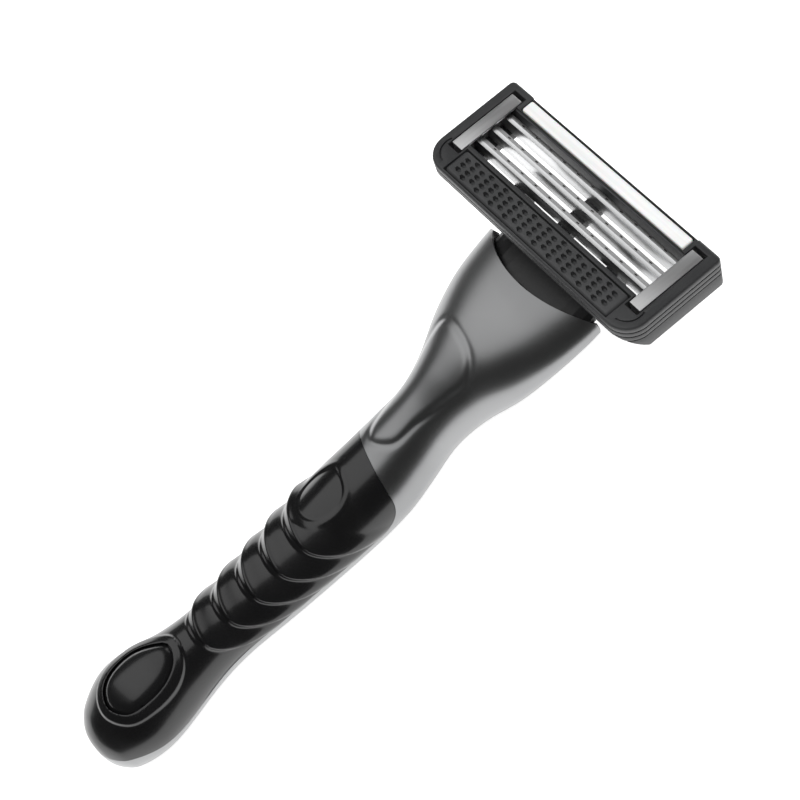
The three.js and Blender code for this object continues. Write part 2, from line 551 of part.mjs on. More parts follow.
const STRIP_SEAT = STRIP_THICKNESS + SEAT_GAP;
const GUARD_SEAT = GUARD_THICKNESS + SEAT_GAP;
let frame = plate(frameOutline(), -CARTRIDGE_DEPTH, 0, EDGE_BEVEL)
  .subtract(block([-WINDOW_WIDTH / 2, WINDOW_BOTTOM, -FAR], [WINDOW_WIDTH / 2, WINDOW_TOP, FAR]))
  .subtract(block([-POCKET_X, WINDOW_BOTTOM, POCKET_FLOOR], [POCKET_X, WINDOW_TOP, FAR]))
  .subtract(block([-STRIP_LENGTH / 2 - SEAT_GAP, STRIP_BOTTOM - SEAT_GAP, -STRIP_SEAT],
    [STRIP_LENGTH / 2 + SEAT_GAP, STRIP_BOTTOM + STRIP_WIDTH + SEAT_GAP, FAR]))
  .subtract(block([-GUARD_LENGTH / 2 - SEAT_GAP, GUARD_TOP - GUARD_WIDTH - SEAT_GAP, -GUARD_SEAT],
    [GUARD_LENGTH / 2 + SEAT_GAP, GUARD_TOP + SEAT_GAP, FAR]))
  .subtract(underTaper)
  .add(block([-RIB_WIDTH / 2, WINDOW_BOTTOM - MERGE, -CARTRIDGE_DEPTH],
    [RIB_WIDTH / 2, WINDOW_TOP + MERGE, POCKET_FLOOR]))
  .add(ear(-1)).add(ear(1)).add(tab);
for (const side of [-1, 1]) {
  frame = frame
    .subtract(block(
      [side * CLIP_X - CLIP_WIDTH / 2 - SEAT_GAP, -CLIP_SPAN / 2 - CLIP_SLOT,
        -CLIP_THICKNESS - SEAT_GAP],
      [side * CLIP_X + CLIP_WIDTH / 2 + SEAT_GAP, CLIP_SPAN / 2 + CLIP_SLOT, FAR]))
    .subtract(clipSlot(side, -1))
    .subtract(clipSlot(side, 1));
}
addPiece(cartridge, 'cartridge_frame', frame, PLASTIC);

// Clips: a strap over the blades' ends with a leg down through the frame at each end.
function clip(side) {
  const x0 = side * CLIP_X - CLIP_WIDTH / 2;
  const x1 = side * CLIP_X + CLIP_WIDTH / 2;
  const end = CLIP_SPAN / 2;
  const strap = block([x0, -end, -CLIP_THICKNESS], [x1, end, 0]);
  const legLow = block([x0, -end, -CARTRIDGE_DEPTH], [x1, -end + CLIP_THICKNESS, 0]);
  const legHigh = block([x0, end - CLIP_THICKNESS, -CARTRIDGE_DEPTH], [x1, end, 0]);
  return strap.add(legLow).add(legHigh);
}
addPiece(cartridge, 'clip_left', clip(-1), STEEL);
addPiece(cartridge, 'clip_right', clip(1), STEEL);

const roundedBar = (length, low, width) => {
  const r = BAR_CORNER;
  const shape = new THREE.Shape();
  shape.moveTo(-length / 2, low + r);
  shape.absarc(-length / 2 + r, low + r, r, Math.PI, 1.5 * Math.PI);
  shape.absarc(length / 2 - r, low + r, r, 1.5 * Math.PI, 2 * Math.PI);
  shape.absarc(length / 2 - r, low + width - r, r, 0, Math.PI / 2);
  shape.absarc(-length / 2 + r, low + width - r, r, Math.PI / 2, Math.PI);
  return shape;
};
addPiece(cartridge, 'lubricating_strip',
  plate(roundedBar(STRIP_LENGTH, STRIP_BOTTOM, STRIP_WIDTH), -STRIP_THICKNESS, STRIP_PROUD,
    STRIP_BEVEL, COARSE_CURVE), GEL);
addPiece(cartridge, 'guard_bar',
  plate(roundedBar(GUARD_LENGTH, GUARD_TOP - GUARD_WIDTH, GUARD_WIDTH), -GUARD_THICKNESS, GUARD_PROUD,
    GUARD_BEVEL, COARSE_CURVE), RUBBER);

// Blades on bent carriers. A carrier's leg hangs straight down, and its foot plate lies under
// the blade at the blade's angle.
const CARRIER_LENGTH = WINDOW_WIDTH + 2 * BLADE_END;
const FIRST_EDGE = WINDOW_TOP - BLADE_LEAD;
const tilt = THREE.MathUtils.degToRad(BLADE_ANGLE);
function sheet(length, points) {
  const shape = new THREE.Shape(points.map(([y, z]) => new THREE.Vector2(y, z)));
  return solidOf(crosswise(shape, length));
}
for (let i = 0; i < BLADE_COUNT; i += 1) {
  const edgeY = FIRST_EDGE - i * BLADE_PITCH;
  const along = (distance, lift) => [
    edgeY + distance * Math.cos(tilt) + lift * Math.sin(tilt),
    EDGE_DEPTH - distance * Math.sin(tilt) + lift * Math.cos(tilt)];
  const blade = sheet(CARRIER_LENGTH, [
    along(0, 0), along(BLADE_BEVEL, -BLADE_THICKNESS), along(BLADE_WIDTH, -BLADE_THICKNESS),
    along(BLADE_WIDTH, 0)]);
  const under = -BLADE_THICKNESS - WELD_GAP;
  const bend = along(CARRIER_SETBACK, under);
  const bendLow = along(CARRIER_SETBACK, under - CARRIER_THICKNESS);
  const legFoot = bend[1] - CARRIER_LEG;
  const carrier = sheet(CARRIER_LENGTH, [
    bend, [bend[0], legFoot], [bend[0] + CARRIER_THICKNESS, legFoot],
    [bend[0] + CARRIER_THICKNESS, bendLow[1] - BEND_ROOT], along(BLADE_WIDTH, under - CARRIER_THICKNESS),
    along(BLADE_WIDTH, under)]);
  addPiece(cartridge, `blade_${i + 1}`, blade, STEEL);
  addPiece(cartridge, `blade_carrier_${i + 1}`, carrier, STEEL);
}

// The cartridge turns about the yoke's trunnions, and rests tilted by FACE_TILT.
const lean = THREE.MathUtils.degToRad(FACE_TILT);
cartridge.rotation.x = -lean;
cartridge.position.set(
  0,
  PIVOT_Y - PIVOT_LOCAL_Y * Math.cos(lean) - PIVOT_LOCAL_Z * Math.sin(lean),
  PIVOT_Z + PIVOT_LOCAL_Y * Math.sin(lean) - PIVOT_LOCAL_Z * Math.cos(lean));

// Centre the footprint on the origin, with the flat back at height 0.
razor.updateMatrixWorld(true);
const bounds = new THREE.Box3().setFromObject(razor, true);
razor.position.set(0, -(bounds.min.y + bounds.max.y) / 2, -bounds.min.z);

export default razor;
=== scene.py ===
import json
import math

import bpy
import numpy as np
from mathutils import Matrix, Vector


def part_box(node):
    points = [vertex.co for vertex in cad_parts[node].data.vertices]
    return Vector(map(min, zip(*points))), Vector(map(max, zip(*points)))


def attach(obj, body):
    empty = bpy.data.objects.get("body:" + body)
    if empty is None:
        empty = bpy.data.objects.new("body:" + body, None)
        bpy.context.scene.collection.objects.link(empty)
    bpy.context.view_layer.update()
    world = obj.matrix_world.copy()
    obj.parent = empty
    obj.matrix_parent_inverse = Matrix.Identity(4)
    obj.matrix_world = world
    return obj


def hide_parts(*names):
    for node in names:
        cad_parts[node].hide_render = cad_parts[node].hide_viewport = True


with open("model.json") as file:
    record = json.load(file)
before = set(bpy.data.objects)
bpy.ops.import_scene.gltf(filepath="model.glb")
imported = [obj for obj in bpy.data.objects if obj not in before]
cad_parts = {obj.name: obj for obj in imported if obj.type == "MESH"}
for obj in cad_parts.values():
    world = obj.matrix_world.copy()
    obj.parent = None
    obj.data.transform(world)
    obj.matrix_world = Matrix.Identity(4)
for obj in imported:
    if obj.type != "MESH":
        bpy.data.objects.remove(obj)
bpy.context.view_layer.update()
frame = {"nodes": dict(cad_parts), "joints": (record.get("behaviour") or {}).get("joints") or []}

# ------------------------------------------------------------------ studio
# A white light table under the razor, a broad softbox overhead and a darker room beyond it, so
# the satin metal shows one dark band and the white table lights its edges from below.
MM = 0.001
FOCAL_LENGTH = 89.6
SENSOR_WIDTH = 36
NEAREST_SEEN = 0.005
CAMERA_PLACE = Vector((0.1305, 0.0085, 0.2537))
CAMERA_FORWARD = Vector((-0.484, 0.010, -0.875))
CAMERA_RIGHT = Vector((0.611, 0.720, -0.330))
TABLE_SIZE = 4
TABLE_DROP = 0.0004             # so the table and the razor's back never share a surface
TABLE_WHITE = 0.88
TABLE_GLOW = 0.8
ROOM_LIGHT = 0.06


def add_camera():
    back = -CAMERA_FORWARD.normalized()
    right = (CAMERA_RIGHT - back * back.dot(CAMERA_RIGHT)).normalized()
    turn = Matrix((right, back.cross(right), back)).transposed()
    camera = bpy.data.objects.new("camera", bpy.data.cameras.new("camera"))
    camera.data.lens = FOCAL_LENGTH
    camera.data.sensor_width = SENSOR_WIDTH
    camera.data.clip_start = NEAREST_SEEN
    camera.matrix_world = Matrix.Translation(CAMERA_PLACE) @ turn.to_4x4()
    bpy.context.scene.collection.objects.link(camera)
    bpy.context.scene.camera = camera


def add_softbox(name, place, aim, width, height, power, mirrored=True):
    light = bpy.data.lights.new(name, "AREA")
    light.shape = "RECTANGLE"
    light.size = width
    light.size_y = height
    light.energy = power
    holder = bpy.data.objects.new(name, light)
    holder.location = place
    holder.visible_glossy = mirrored
    holder.rotation_euler = (Vector(aim) - Vector(place)).to_track_quat("-Z", "Y").to_euler()
    bpy.context.scene.collection.objects.link(holder)


def add_light_table():
    bpy.ops.object.select_all(action="DESELECT")
    bpy.ops.mesh.primitive_plane_add(size=TABLE_SIZE, location=(0, 0, -TABLE_DROP))
    table = bpy.context.object
    table.name = "light_table"
    material = bpy.data.materials.new("light_table")
    material.use_nodes = True
    surface = material.node_tree.nodes["Principled BSDF"]
    surface.inputs["Base Color"].default_value = (*[TABLE_WHITE] * 3, 1)
    surface.inputs["Roughness"].default_value = 0.7
    surface.inputs["Emission Color"].default_value = (1, 1, 1, 1)
    surface.inputs["Emission Strength"].default_value = TABLE_GLOW
    table.data.materials.append(material)


def light_room():
    world = bpy.data.worlds.new("room")
    bpy.context.scene.world = world
    world.use_nodes = True
    background = world.node_tree.nodes["Background"]
    background.inputs["Color"].default_value = (1, 1, 1, 1)
    background.inputs["Strength"].default_value = ROOM_LIGHT


add_camera()
add_light_table()
light_room()
bpy.context.scene.view_settings.view_transform = "Standard"
add_softbox("overhead_softbox", place=(-0.2, -0.02, 0.5), aim=(0, 0, 0),
            width=0.45, height=0.7, power=1.15)
add_softbox("blade_softbox", place=(-0.29, 0.54, 0.19), aim=(0, 0.047, 0.02),
            width=0.4, height=0.3, power=0.45)
add_softbox("fill", place=(0.1, 0, 0.7), aim=(0, 0, 0),
            width=0.6, height=0.6, power=4.6, mirrored=False)

# ------------------------------------------------------------------ cast handle
# The handle is one zinc casting, plated and satin finished: a back shell under the grip, and a
# neck that flares to a hollow mouth. A teardrop relief is pressed into the front of the neck.
BUTT_TO_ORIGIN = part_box("handle_body")[0].y / MM    # where the butt lies along Y
BUTT_ROUND = 3
GRIP_START = 13
GRIP_END = 55
MOUTH = 91
MOUTH_HEIGHT = 14.0
WALL = 1.3
PARTING = 5.4
PARTING_RISE = 2.2
CLIMB_START = 0.3               # where the parting's climb round the butt starts and ends,
CLIMB_END = 1.5                 # in shares of the butt's length
JOINT_GAP = 0.06
GRIP_LAP = 0.9
GRIP_CORNER = 4.4
GRIP_SLANT = 0.3
SCOOP_RADIUS = 20
SCOOP_DEPTH = 4
SCOOP_CUTTER = 20
TEARDROP_SWELL = 0.1
TEARDROP_SOFTNESS = 1.3
TEARDROP_GROOVE = 0.11
TEARDROP_GROOVE_WIDTH = 0.5
TEARDROP_BAND = (54, 80)        # closely spaced stations here carry the teardrop
FRONT = 8                       # the front's skin lies above this height
SCREW_HEAD_RADIUS = 1.7
SCREW_SHANK_RADIUS = 0.9
SCREW_HEAD = 1.4
ROOM_GAP = 0.3                  # around the weight and the screw
SPRING_GAP = 0.4
POST_SETBACK = 1.2              # from the thumb button's back to its post
SLOT_HALF = 1.8
SLOT_LENGTH = 5.5
SLOT_GAP = 0.3
SLOT_TOP = 10
CAVITY_LEAD = 3.1               # how far the cavity runs back past the slot
CAVITY_SHORT = 0.01             # the cavity and the trim end a hair short of the mouth, so
MOUTH_TRIM = 0.02               # that no two cuts share a face
ABOVE = 30                      # clear above every piece
FAR = 60


def grip_place(share):
    return GRIP_START + (GRIP_END - GRIP_START) * share


def neck_place(share):
    return GRIP_END + (MOUTH - GRIP_END) * share


# Each row: place along Y from the butt, centre height, half width, half depth.
HANDLE_SECTIONS = np.array([
    (0, 5.2, 2.2, 2.0),
    (0.8, 5.3, 4.0, 3.6),
    (BUTT_ROUND, 5.6, 6.1, 5.2),
    (8, 6.5, 7.5, 6.5),
    (GRIP_START, 6.5, 6.9, 6.6),
    (grip_place(0.12), 5.9, 5.6, 6.0),
    (grip_place(0.26), 5.6, 5.0, 5.7),
    (grip_place(0.5), 5.4, 5.8, 5.8),
    (grip_place(0.85), 5.9, 6.8, 6.6),
    (GRIP_END, 6.1, 6.7, 6.5),
    (neck_place(0.14), 7.0, 6.2, 6.2),
    (neck_place(0.3), 8.5, 5.7, 5.9),
    (neck_place(0.44), 9.8, 6.7, 6.1),
    (neck_place(0.6), 11.3, 9.2, 6.1),
    (neck_place(0.76), 12.8, 10.8, 5.3),
    (neck_place(0.92), 13.6, 11.5, 4.6),
    (MOUTH, MOUTH_HEIGHT, 11.6, 4.3),
])


def handle_section(place):
    """Centre height, half width and half depth there, on a smooth curve through the rows."""
    places = HANDLE_SECTIONS[:, 0]
    sizes = HANDLE_SECTIONS[:, 1:]
    last = len(places) - 2
    i = int(np.clip(np.searchsorted(places, place, side="right") - 1, 0, last))
    start, end = places[i], places[i + 1]
    span = end - start
    slope = (sizes[i + 1] - sizes[i]) / span
    before = slope if i == 0 else (sizes[i + 1] - sizes[i - 1]) / (end - places[i - 1])
    after = slope if i == last else (sizes[i + 2] - sizes[i]) / (places[i + 2] - start)
    t = (place - start) / span
    return ((2 * t**3 - 3 * t**2 + 1) * sizes[i] + (t**3 - 2 * t**2 + t) * span * before
            + (3 * t**2 - 2 * t**3) * sizes[i + 1] + (t**3 - t**2) * span * after)


def start_alone():
    bpy.ops.object.select_all(action="DESELECT")


def pick(*pieces):
    """Selects these pieces and nothing else, with the first of them active."""
    start_alone()
    for piece in pieces:
        piece.select_set(True)
    bpy.context.view_layer.objects.active = pieces[0]


def settle(piece):
    """Puts a piece's place, turn and scale into its mesh."""
    pick(piece)
    bpy.ops.object.transform_apply(location=True, rotation=True, scale=True)
    return piece


def handle_loft(name, stations, inset, sides):
    """A ring drawn along the handle, station by station, and resized to each cross-section."""
    start_alone()
    rows = [(y + BUTT_TO_ORIGIN, *(handle_section(y) - (0, inset, inset))) for y in stations]
    y, height, half_width, half_depth = (size * MM for size in rows[0])
    bpy.ops.mesh.primitive_circle_add(
        vertices=sides, radius=1, fill_type="NGON", location=(0, y, height),
        rotation=(math.pi / 2, 0, 0))
    piece = bpy.context.object
    piece.name = name
    piece.scale = (half_width, half_depth, 1)
    settle(piece)
    bpy.ops.object.mode_set(mode="EDIT")
    bpy.ops.mesh.select_all(action="SELECT")
    for row, following in zip(rows, rows[1:]):
        step = (0, (following[0] - row[0]) * MM, (following[1] - row[1]) * MM)
        bpy.ops.mesh.extrude_region_move(TRANSFORM_OT_translate={"value": step})
        bpy.ops.transform.resize(
            value=(following[2] / row[2], 1, following[3] / row[3]),
            center_override=(0, following[0] * MM, following[1] * MM))
    bpy.ops.mesh.select_all(action="SELECT")
    bpy.ops.mesh.normals_make_consistent(inside=False)
    bpy.ops.object.mode_set(mode="OBJECT")
    return piece


def apply_modifier(piece, kind, **settings):
    pick(piece)
    modifier = piece.modifiers.new(kind.lower(), kind)
    for setting, value in settings.items():
        setattr(modifier, setting, value)
    bpy.ops.object.modifier_apply(modifier=modifier.name)
    return piece


def refine(piece, levels):
    return apply_modifier(piece, "SUBSURF", levels=levels, render_levels=levels)


def cut(piece, *cutters, operation="DIFFERENCE"):
    for cutter in cutters:
        apply_modifier(
            piece, "BOOLEAN", object=cutter, operation=operation, solver="MANIFOLD")
        bpy.data.objects.remove(cutter)
    return piece


def brick(name, low, high):
    """A block between two corners, in millimetres."""
    start_alone()
    low, high = Vector(low) * MM, Vector(high) * MM
    bpy.ops.mesh.primitive_cube_add(size=1, location=(low + high) / 2, scale=high - low)
    piece = bpy.context.object
    piece.name = name
    return settle(piece)


def prism(name, outline, start, end, across="z"):
    """A flat outline in millimetres, extruded along X or Z between two places."""
    start_alone()
    bpy.ops.mesh.primitive_circle_add(vertices=len(outline), fill_type="NGON")
    piece = bpy.context.object
    piece.name = name
    for vertex, (u, v) in zip(piece.data.vertices, outline):
        point = (start, u, v) if across == "x" else (u, v, start)
        vertex.co = Vector(point) * MM
    along = (end - start) * MM
    bpy.ops.object.mode_set(mode="EDIT")
    bpy.ops.mesh.select_all(action="SELECT")
    bpy.ops.mesh.extrude_region_move(TRANSFORM_OT_translate={
        "value": (along, 0, 0) if across == "x" else (0, 0, along)})
    bpy.ops.mesh.select_all(action="SELECT")
    bpy.ops.mesh.normals_make_consistent(inside=False)
    bpy.ops.object.mode_set(mode="OBJECT")
    return piece


def emboss(piece, relief):
    """Moves the skin along its normals by relief(x, place, height), all in millimetres."""
    count = len(piece.data.vertices)
    points = np.empty(count * 3)
    normals = np.empty(count * 3)
    piece.data.vertices.foreach_get("co", points)
    piece.data.vertices.foreach_get("normal", normals)
    points = points.reshape(-1, 3)
    rise = relief(points[:, 0] / MM, points[:, 1] / MM - BUTT_TO_ORIGIN, points[:, 2] / MM)
    points += normals.reshape(-1, 3) * (rise * MM)[:, None]
    piece.data.vertices.foreach_set("co", points.ravel())
    piece.data.update()


def smooth(piece, degrees=35):
    pick(piece)
    bpy.ops.object.shade_smooth_by_angle(angle=math.radians(degrees))
    return piece


def ease(low, high, values):
    """0 below low, 1 above high, and a smooth rise between them."""
    t = np.clip((values - low) / (high - low), 0, 1)
    return t * t * (3 - 2 * t)


def closed_curve(points, samples=24):
    """A smooth closed curve through given points."""
    points = np.array(points, float)
    t = np.linspace(0, 1, samples, endpoint=False)[:, None]
    legs = []
    for i in range(len(points)):
        a, b, c, d = (points[(i + k - 1) % len(points)] for k in range(4))
        legs.append(0.5 * (2 * b + (c - a) * t + (2 * a - 5 * b + 4 * c - d) * t**2
                           + (3 * b - a - 3 * c + d) * t**3))
    return np.concatenate(legs)


def distance_inside(curve, x, place):
    """Distance from each point to a closed curve, positive inside it."""
    nearest = np.full(x.shape, np.inf)
    inside = np.zeros(x.shape, bool)
    for (ax, ay), (bx, by) in zip(curve, np.roll(curve, -1, axis=0)):
        length = max((bx - ax)**2 + (by - ay)**2, 1e-12)
        t = np.clip(((x - ax) * (bx - ax) + (place - ay) * (by - ay)) / length, 0, 1)
        gap = np.hypot(x - ax - t * (bx - ax), place - ay - t * (by - ay))
        nearest = np.minimum(nearest, gap)
        if ay != by:
            crosses = (ay > place) != (by > place)
            inside ^= crosses & (x < ax + (place - ay) * (bx - ax) / (by - ay))
    return np.where(inside, nearest, -nearest)


TEARDROP = closed_curve([
    (-1.2, 57.6), (1.5, 59.6), (2.2, 64), (3.5, 69), (4.1, 72.4), (2.2, 75.4),
    (-1.6, 76.9), (-5.2, 76.8), (-5.9, 73.5), (-5.0, 68), (-4.3, 62), (-3.3, 58.9)])


def ridge(distance, width):
    """1 on a line, and a smooth fall to 0 on both sides of it."""
    return np.exp(-(distance / width)**2)


def neck_relief(x, place, height):
    rise = np.zeros(x.shape)
    near = (place > TEARDROP_BAND[0]) & (place < TEARDROP_BAND[1]) & (height > FRONT)
    depth = distance_inside(TEARDROP, x[near], place[near])
    rise[near] = (TEARDROP_SWELL * ease(0, TEARDROP_SOFTNESS, depth)
                  - TEARDROP_GROOVE * ridge(depth, TEARDROP_GROOVE_WIDTH))
    return rise


def spread(start, end, count):
    """Even stations from start up to end, without end itself."""
    return list(np.linspace(start, end, count, endpoint=False))


def grip_room(gap):
    """All that lies above the parting and behind the slanted head end.

    The parting climbs around the butt, and turns into the head end with a rounded corner.
    """
    low, end = PARTING - gap, GRIP_END + GRIP_LAP + gap
    high = low + PARTING_RISE
    first, last = CLIMB_START * GRIP_START, CLIMB_END * GRIP_START
    outline = [(-FAR, high)]
    for t in np.linspace(0, 1, 24):
        shares = ((1 - t)**3, 3 * t * (1 - t)**2, 3 * t**2 * (1 - t), t**3)
        outline.append((np.dot(shares, (first, GRIP_START - first / 2, GRIP_START, last)),
                        np.dot(shares, (high, high, low, low))))
    for turn in np.linspace(0, math.pi / 2, 24):
        outline.append((end - GRIP_CORNER * (1 - math.sin(turn)),
                        low + GRIP_CORNER * (1 - math.cos(turn))))
    outline += [(end, FAR), (-FAR, FAR)]
    room = prism("grip_room", [(y + BUTT_TO_ORIGIN, z) for y, z in outline], -FAR, FAR,
                 across="x")
    slant = Matrix.Identity(4)
    slant[1][0] = -GRIP_SLANT
    room.data.transform(slant)
    return room


def round_room(name, node, gap):
    """Room for a round piece that lies along the handle: its own box, grown by a gap."""
    low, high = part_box(node)
    start_alone()
    bpy.ops.mesh.primitive_cylinder_add(
        vertices=48, radius=(high.x - low.x) / 2 + gap * MM, depth=high.y - low.y + 2 * gap * MM,
        location=(low + high) / 2, rotation=(math.pi / 2, 0, 0))
    bpy.context.object.name = name
    return settle(bpy.context.object)


def screw_room(gap):
    """Room for the upright screw: a wide bore for its head and a narrow one for its shank."""
    low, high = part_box("grip_screw")
    middle = (low.y + high.y) / 2 / MM
    bores = []
    for radius, bottom, top in ((SCREW_HEAD_RADIUS, high.z / MM - SCREW_HEAD, ABOVE),
                                (SCREW_SHANK_RADIUS, low.z / MM, high.z / MM)):
        reach = radius + gap
        outline = [(reach * math.cos(a), middle + reach * math.sin(a))
                   for a in np.linspace(0, 2 * math.pi, 40, endpoint=False)]
        bores.append(prism("screw_room", outline, bottom - gap, top))
    return cut(*bores, operation="UNION")


def start_finish(name):
    """A new material, its surface, and the piece's own coordinates to lay a pattern by."""
    material = bpy.data.materials.new(name)
    material.use_nodes = True
    place = material.node_tree.nodes.new("ShaderNodeTexCoord").outputs["Object"]
    return material, material.node_tree.nodes["Principled BSDF"], place


def pattern(material, kind, place, **settings):
    """A noise or cell pattern, as the strength it has at each place."""
    texture = material.node_tree.nodes.new(kind)
    for setting, value in settings.items():
        texture.inputs[setting].default_value = value
    material.node_tree.links.new(place, texture.inputs["Vector"])
    return texture.outputs[0]


def grade(material, slow, fine, stops, tones, gloss, bump):
    """Leads a slow pattern to the tone and the gloss, and a fine one to the relief."""
    nodes, link = material.node_tree.nodes, material.node_tree.links.new
    surface = nodes["Principled BSDF"]
    tone = nodes.new("ShaderNodeValToRGB")
    for element, stop, colour in zip(tone.color_ramp.elements, stops, tones):
        element.position = stop
        element.color = (*colour, 1)
    shine = nodes.new("ShaderNodeMapRange")
    shine.inputs["To Min"].default_value, shine.inputs["To Max"].default_value = gloss
    relief = nodes.new("ShaderNodeBump")
    relief.inputs["Strength"].default_value, relief.inputs["Distance"].default_value = bump
    link(slow, tone.inputs["Fac"])
    link(tone.outputs["Color"], surface.inputs["Base Color"])
    link(slow, shine.inputs["Value"])
    link(shine.outputs["Result"], surface.inputs["Roughness"])
    link(fine, relief.inputs["Height"])
    link(relief.outputs["Normal"], surface.inputs["Normal"])
    return material


def satin_metal():
    """Plated zinc, evenly blasted: fine grain, and slow changes of tone and gloss."""
    material, surface, place = start_finish("satin_cast_metal")
    surface.inputs["Metallic"].default_value = 1
    slow = pattern(material, "ShaderNodeTexNoise", place, Scale=55, Detail=3)
    grain = pattern(material, "ShaderNodeTexNoise", place, Scale=5200, Detail=2)
    return grade(material, slow, grain, stops=(0.35, 0.65),
                 tones=((0.235, 0.237, 0.24), (0.285, 0.287, 0.29)),
                 gloss=(0.27, 0.35), bump=(0.06, 0.00004))


def finish_piece(piece, material, body, slot, *nodes):
    """Gives a piece its material, the body it moves with, and hides the solids it stands for. The
    slot is not used.
    """
    piece.data.materials.clear()
    piece.data.materials.append(material)
    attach(piece, body)
    if nodes:
        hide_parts(*nodes)
    return piece


handle_stations = (spread(0, BUTT_ROUND, 6) + spread(BUTT_ROUND, GRIP_START, 6)
                   + spread(GRIP_START, TEARDROP_BAND[0], 13) + spread(*TEARDROP_BAND, 34)
                   + spread(TEARDROP_BAND[1], MOUTH, 12) + [MOUTH])
casting = refine(handle_loft("cast_handle", handle_stations, inset=0, sides=64), levels=2)
emboss(casting, neck_relief)

button_low, button_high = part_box("release_button")
post_back = button_low.y / MM + POST_SETBACK
slot_start = post_back - SLOT_GAP
cavity_start = slot_start - BUTT_TO_ORIGIN - CAVITY_LEAD
cut(casting,
    brick("below_the_back", (-FAR, -2 * FAR, -FAR), (FAR, 2 * FAR, 0)),
    grip_room(JOINT_GAP),
    round_room("weight_channel", "balance_weight", ROOM_GAP),
    round_room("spring_room", "release_spring", SPRING_GAP),
    screw_room(ROOM_GAP),
    handle_loft("mouth_cavity", spread(cavity_start, MOUTH, 14) + [MOUTH - CAVITY_SHORT],
                inset=WALL, sides=64),
    brick("mouth_end", (-FAR, MOUTH + BUTT_TO_ORIGIN - MOUTH_TRIM, -FAR), (FAR, FAR, FAR)),
    brick("button_slot", (-SLOT_HALF, slot_start, 0),
          (SLOT_HALF, slot_start + SLOT_LENGTH, SLOT_TOP)))
start_alone()
bpy.ops.mesh.primitive_cylinder_add(
    vertices=200, radius=SCOOP_RADIUS * MM, depth=SCOOP_CUTTER * MM,
    location=(0, (MOUTH + BUTT_TO_ORIGIN - SCOOP_DEPTH + SCOOP_RADIUS) * MM,
              (MOUTH_HEIGHT + SCOOP_CUTTER / 2) * MM))
cut(casting, settle(bpy.context.object))
finish_piece(smooth(casting), satin_metal(), "handle", "cast_metal", "handle_body")

# ------------------------------------------------------------------ grip
# The grip is a glossy black moulding screwed down on the casting. Five overlapping scales run
# across it under the fingers, with a smooth thumb pad near the neck and a ring round the inlay.
FIRST_SCALE = 21.2
SCALE_PITCH = 4.75
SCALE_COUNT = 5
SCALE_STEP = 0.62
SCALE_LIP = 0.18
SCALE_LIP_WIDTH = 0.26
SCALE_LIP_BEHIND = 0.05
SCALE_LIP_TURN = (-62, -20)     # degrees between which the lip comes up
SCALES_BAND = (20, 53)          # closely spaced stations here carry the scales and the pad
BLANK_END = 60                  # the moulding starts longer than it ends up
SWEEP_CENTRE = 15               # degrees round from the crown
SWEEP_RIGHT = 0.00138           # millimetres for each square degree
SWEEP_LEFT = 0.0006
SIDE_FADE = (100, 66)           # degrees between which the scales run out
CRESCENT_NARROW = 0.45          # the lit crescent on each scale widens towards the left
CRESCENT_GROWTH = 1.15
CRESCENT_TURN = (48, -30)
CRESCENT_RIDGE = 0.12
CRESCENT_RIDGE_WIDTH = 0.3
CRESCENT_RIDGE_TURN = (48, 20)
PAD_SUNK = 0.22
PAD_EDGE = 0.5
PAD_CLEAR = (-1.2, 0.1)         # the scales fade out between these distances from the pad
PAD_RIM = 0.06
PAD_RIM_WIDTH = 0.35
RING_PROUD = 0.34
RING_OUTSIDE = (-1.55, -1.15)
RING_INSIDE = (0.3, -0.15)
INLAY_DEPTH = 1.1
INLAY_GAP = 0.16
INLAY_FLOOR_GAP = 0.1           # the seat's floor and the inlay's own lie this far each side
INLAY_CUT = 7                   # the inlay's own cuts reach down to this height
INLAY_SPAN = (1, 26)
PAD = closed_curve([
    (-3.2, 51.7), (-0.6, 51.4), (1.5, 50.1), (2.4, 47.6), (1.6, 44.7), (-0.4, 43.4),
    (-3.0, 43.8), (-4.8, 45.8), (-4.9, 48.8)])
INLAY_EDGE = closed_curve([
    (-1.2, 17.8), (1.4, 17.3), (3.2, 14.6), (3.7, 11.2), (3.0, 8.0), (0.2, 6.4),
    (-2.6, 7.6), (-3.9, 10.6), (-3.6, 14.4)])


def scale_edge(x, height, place):
    """How far behind the crown a scale's edge lies: it sweeps towards the head at the sides."""
    stations = np.arange(MOUTH + 1)
    middle = np.array([handle_section(y)[0] for y in stations])
    around = np.degrees(np.arctan2(x, height - np.interp(place, stations, middle)))
    turn = around - SWEEP_CENTRE
    return np.where(turn > 0, SWEEP_RIGHT, SWEEP_LEFT) * turn**2, around


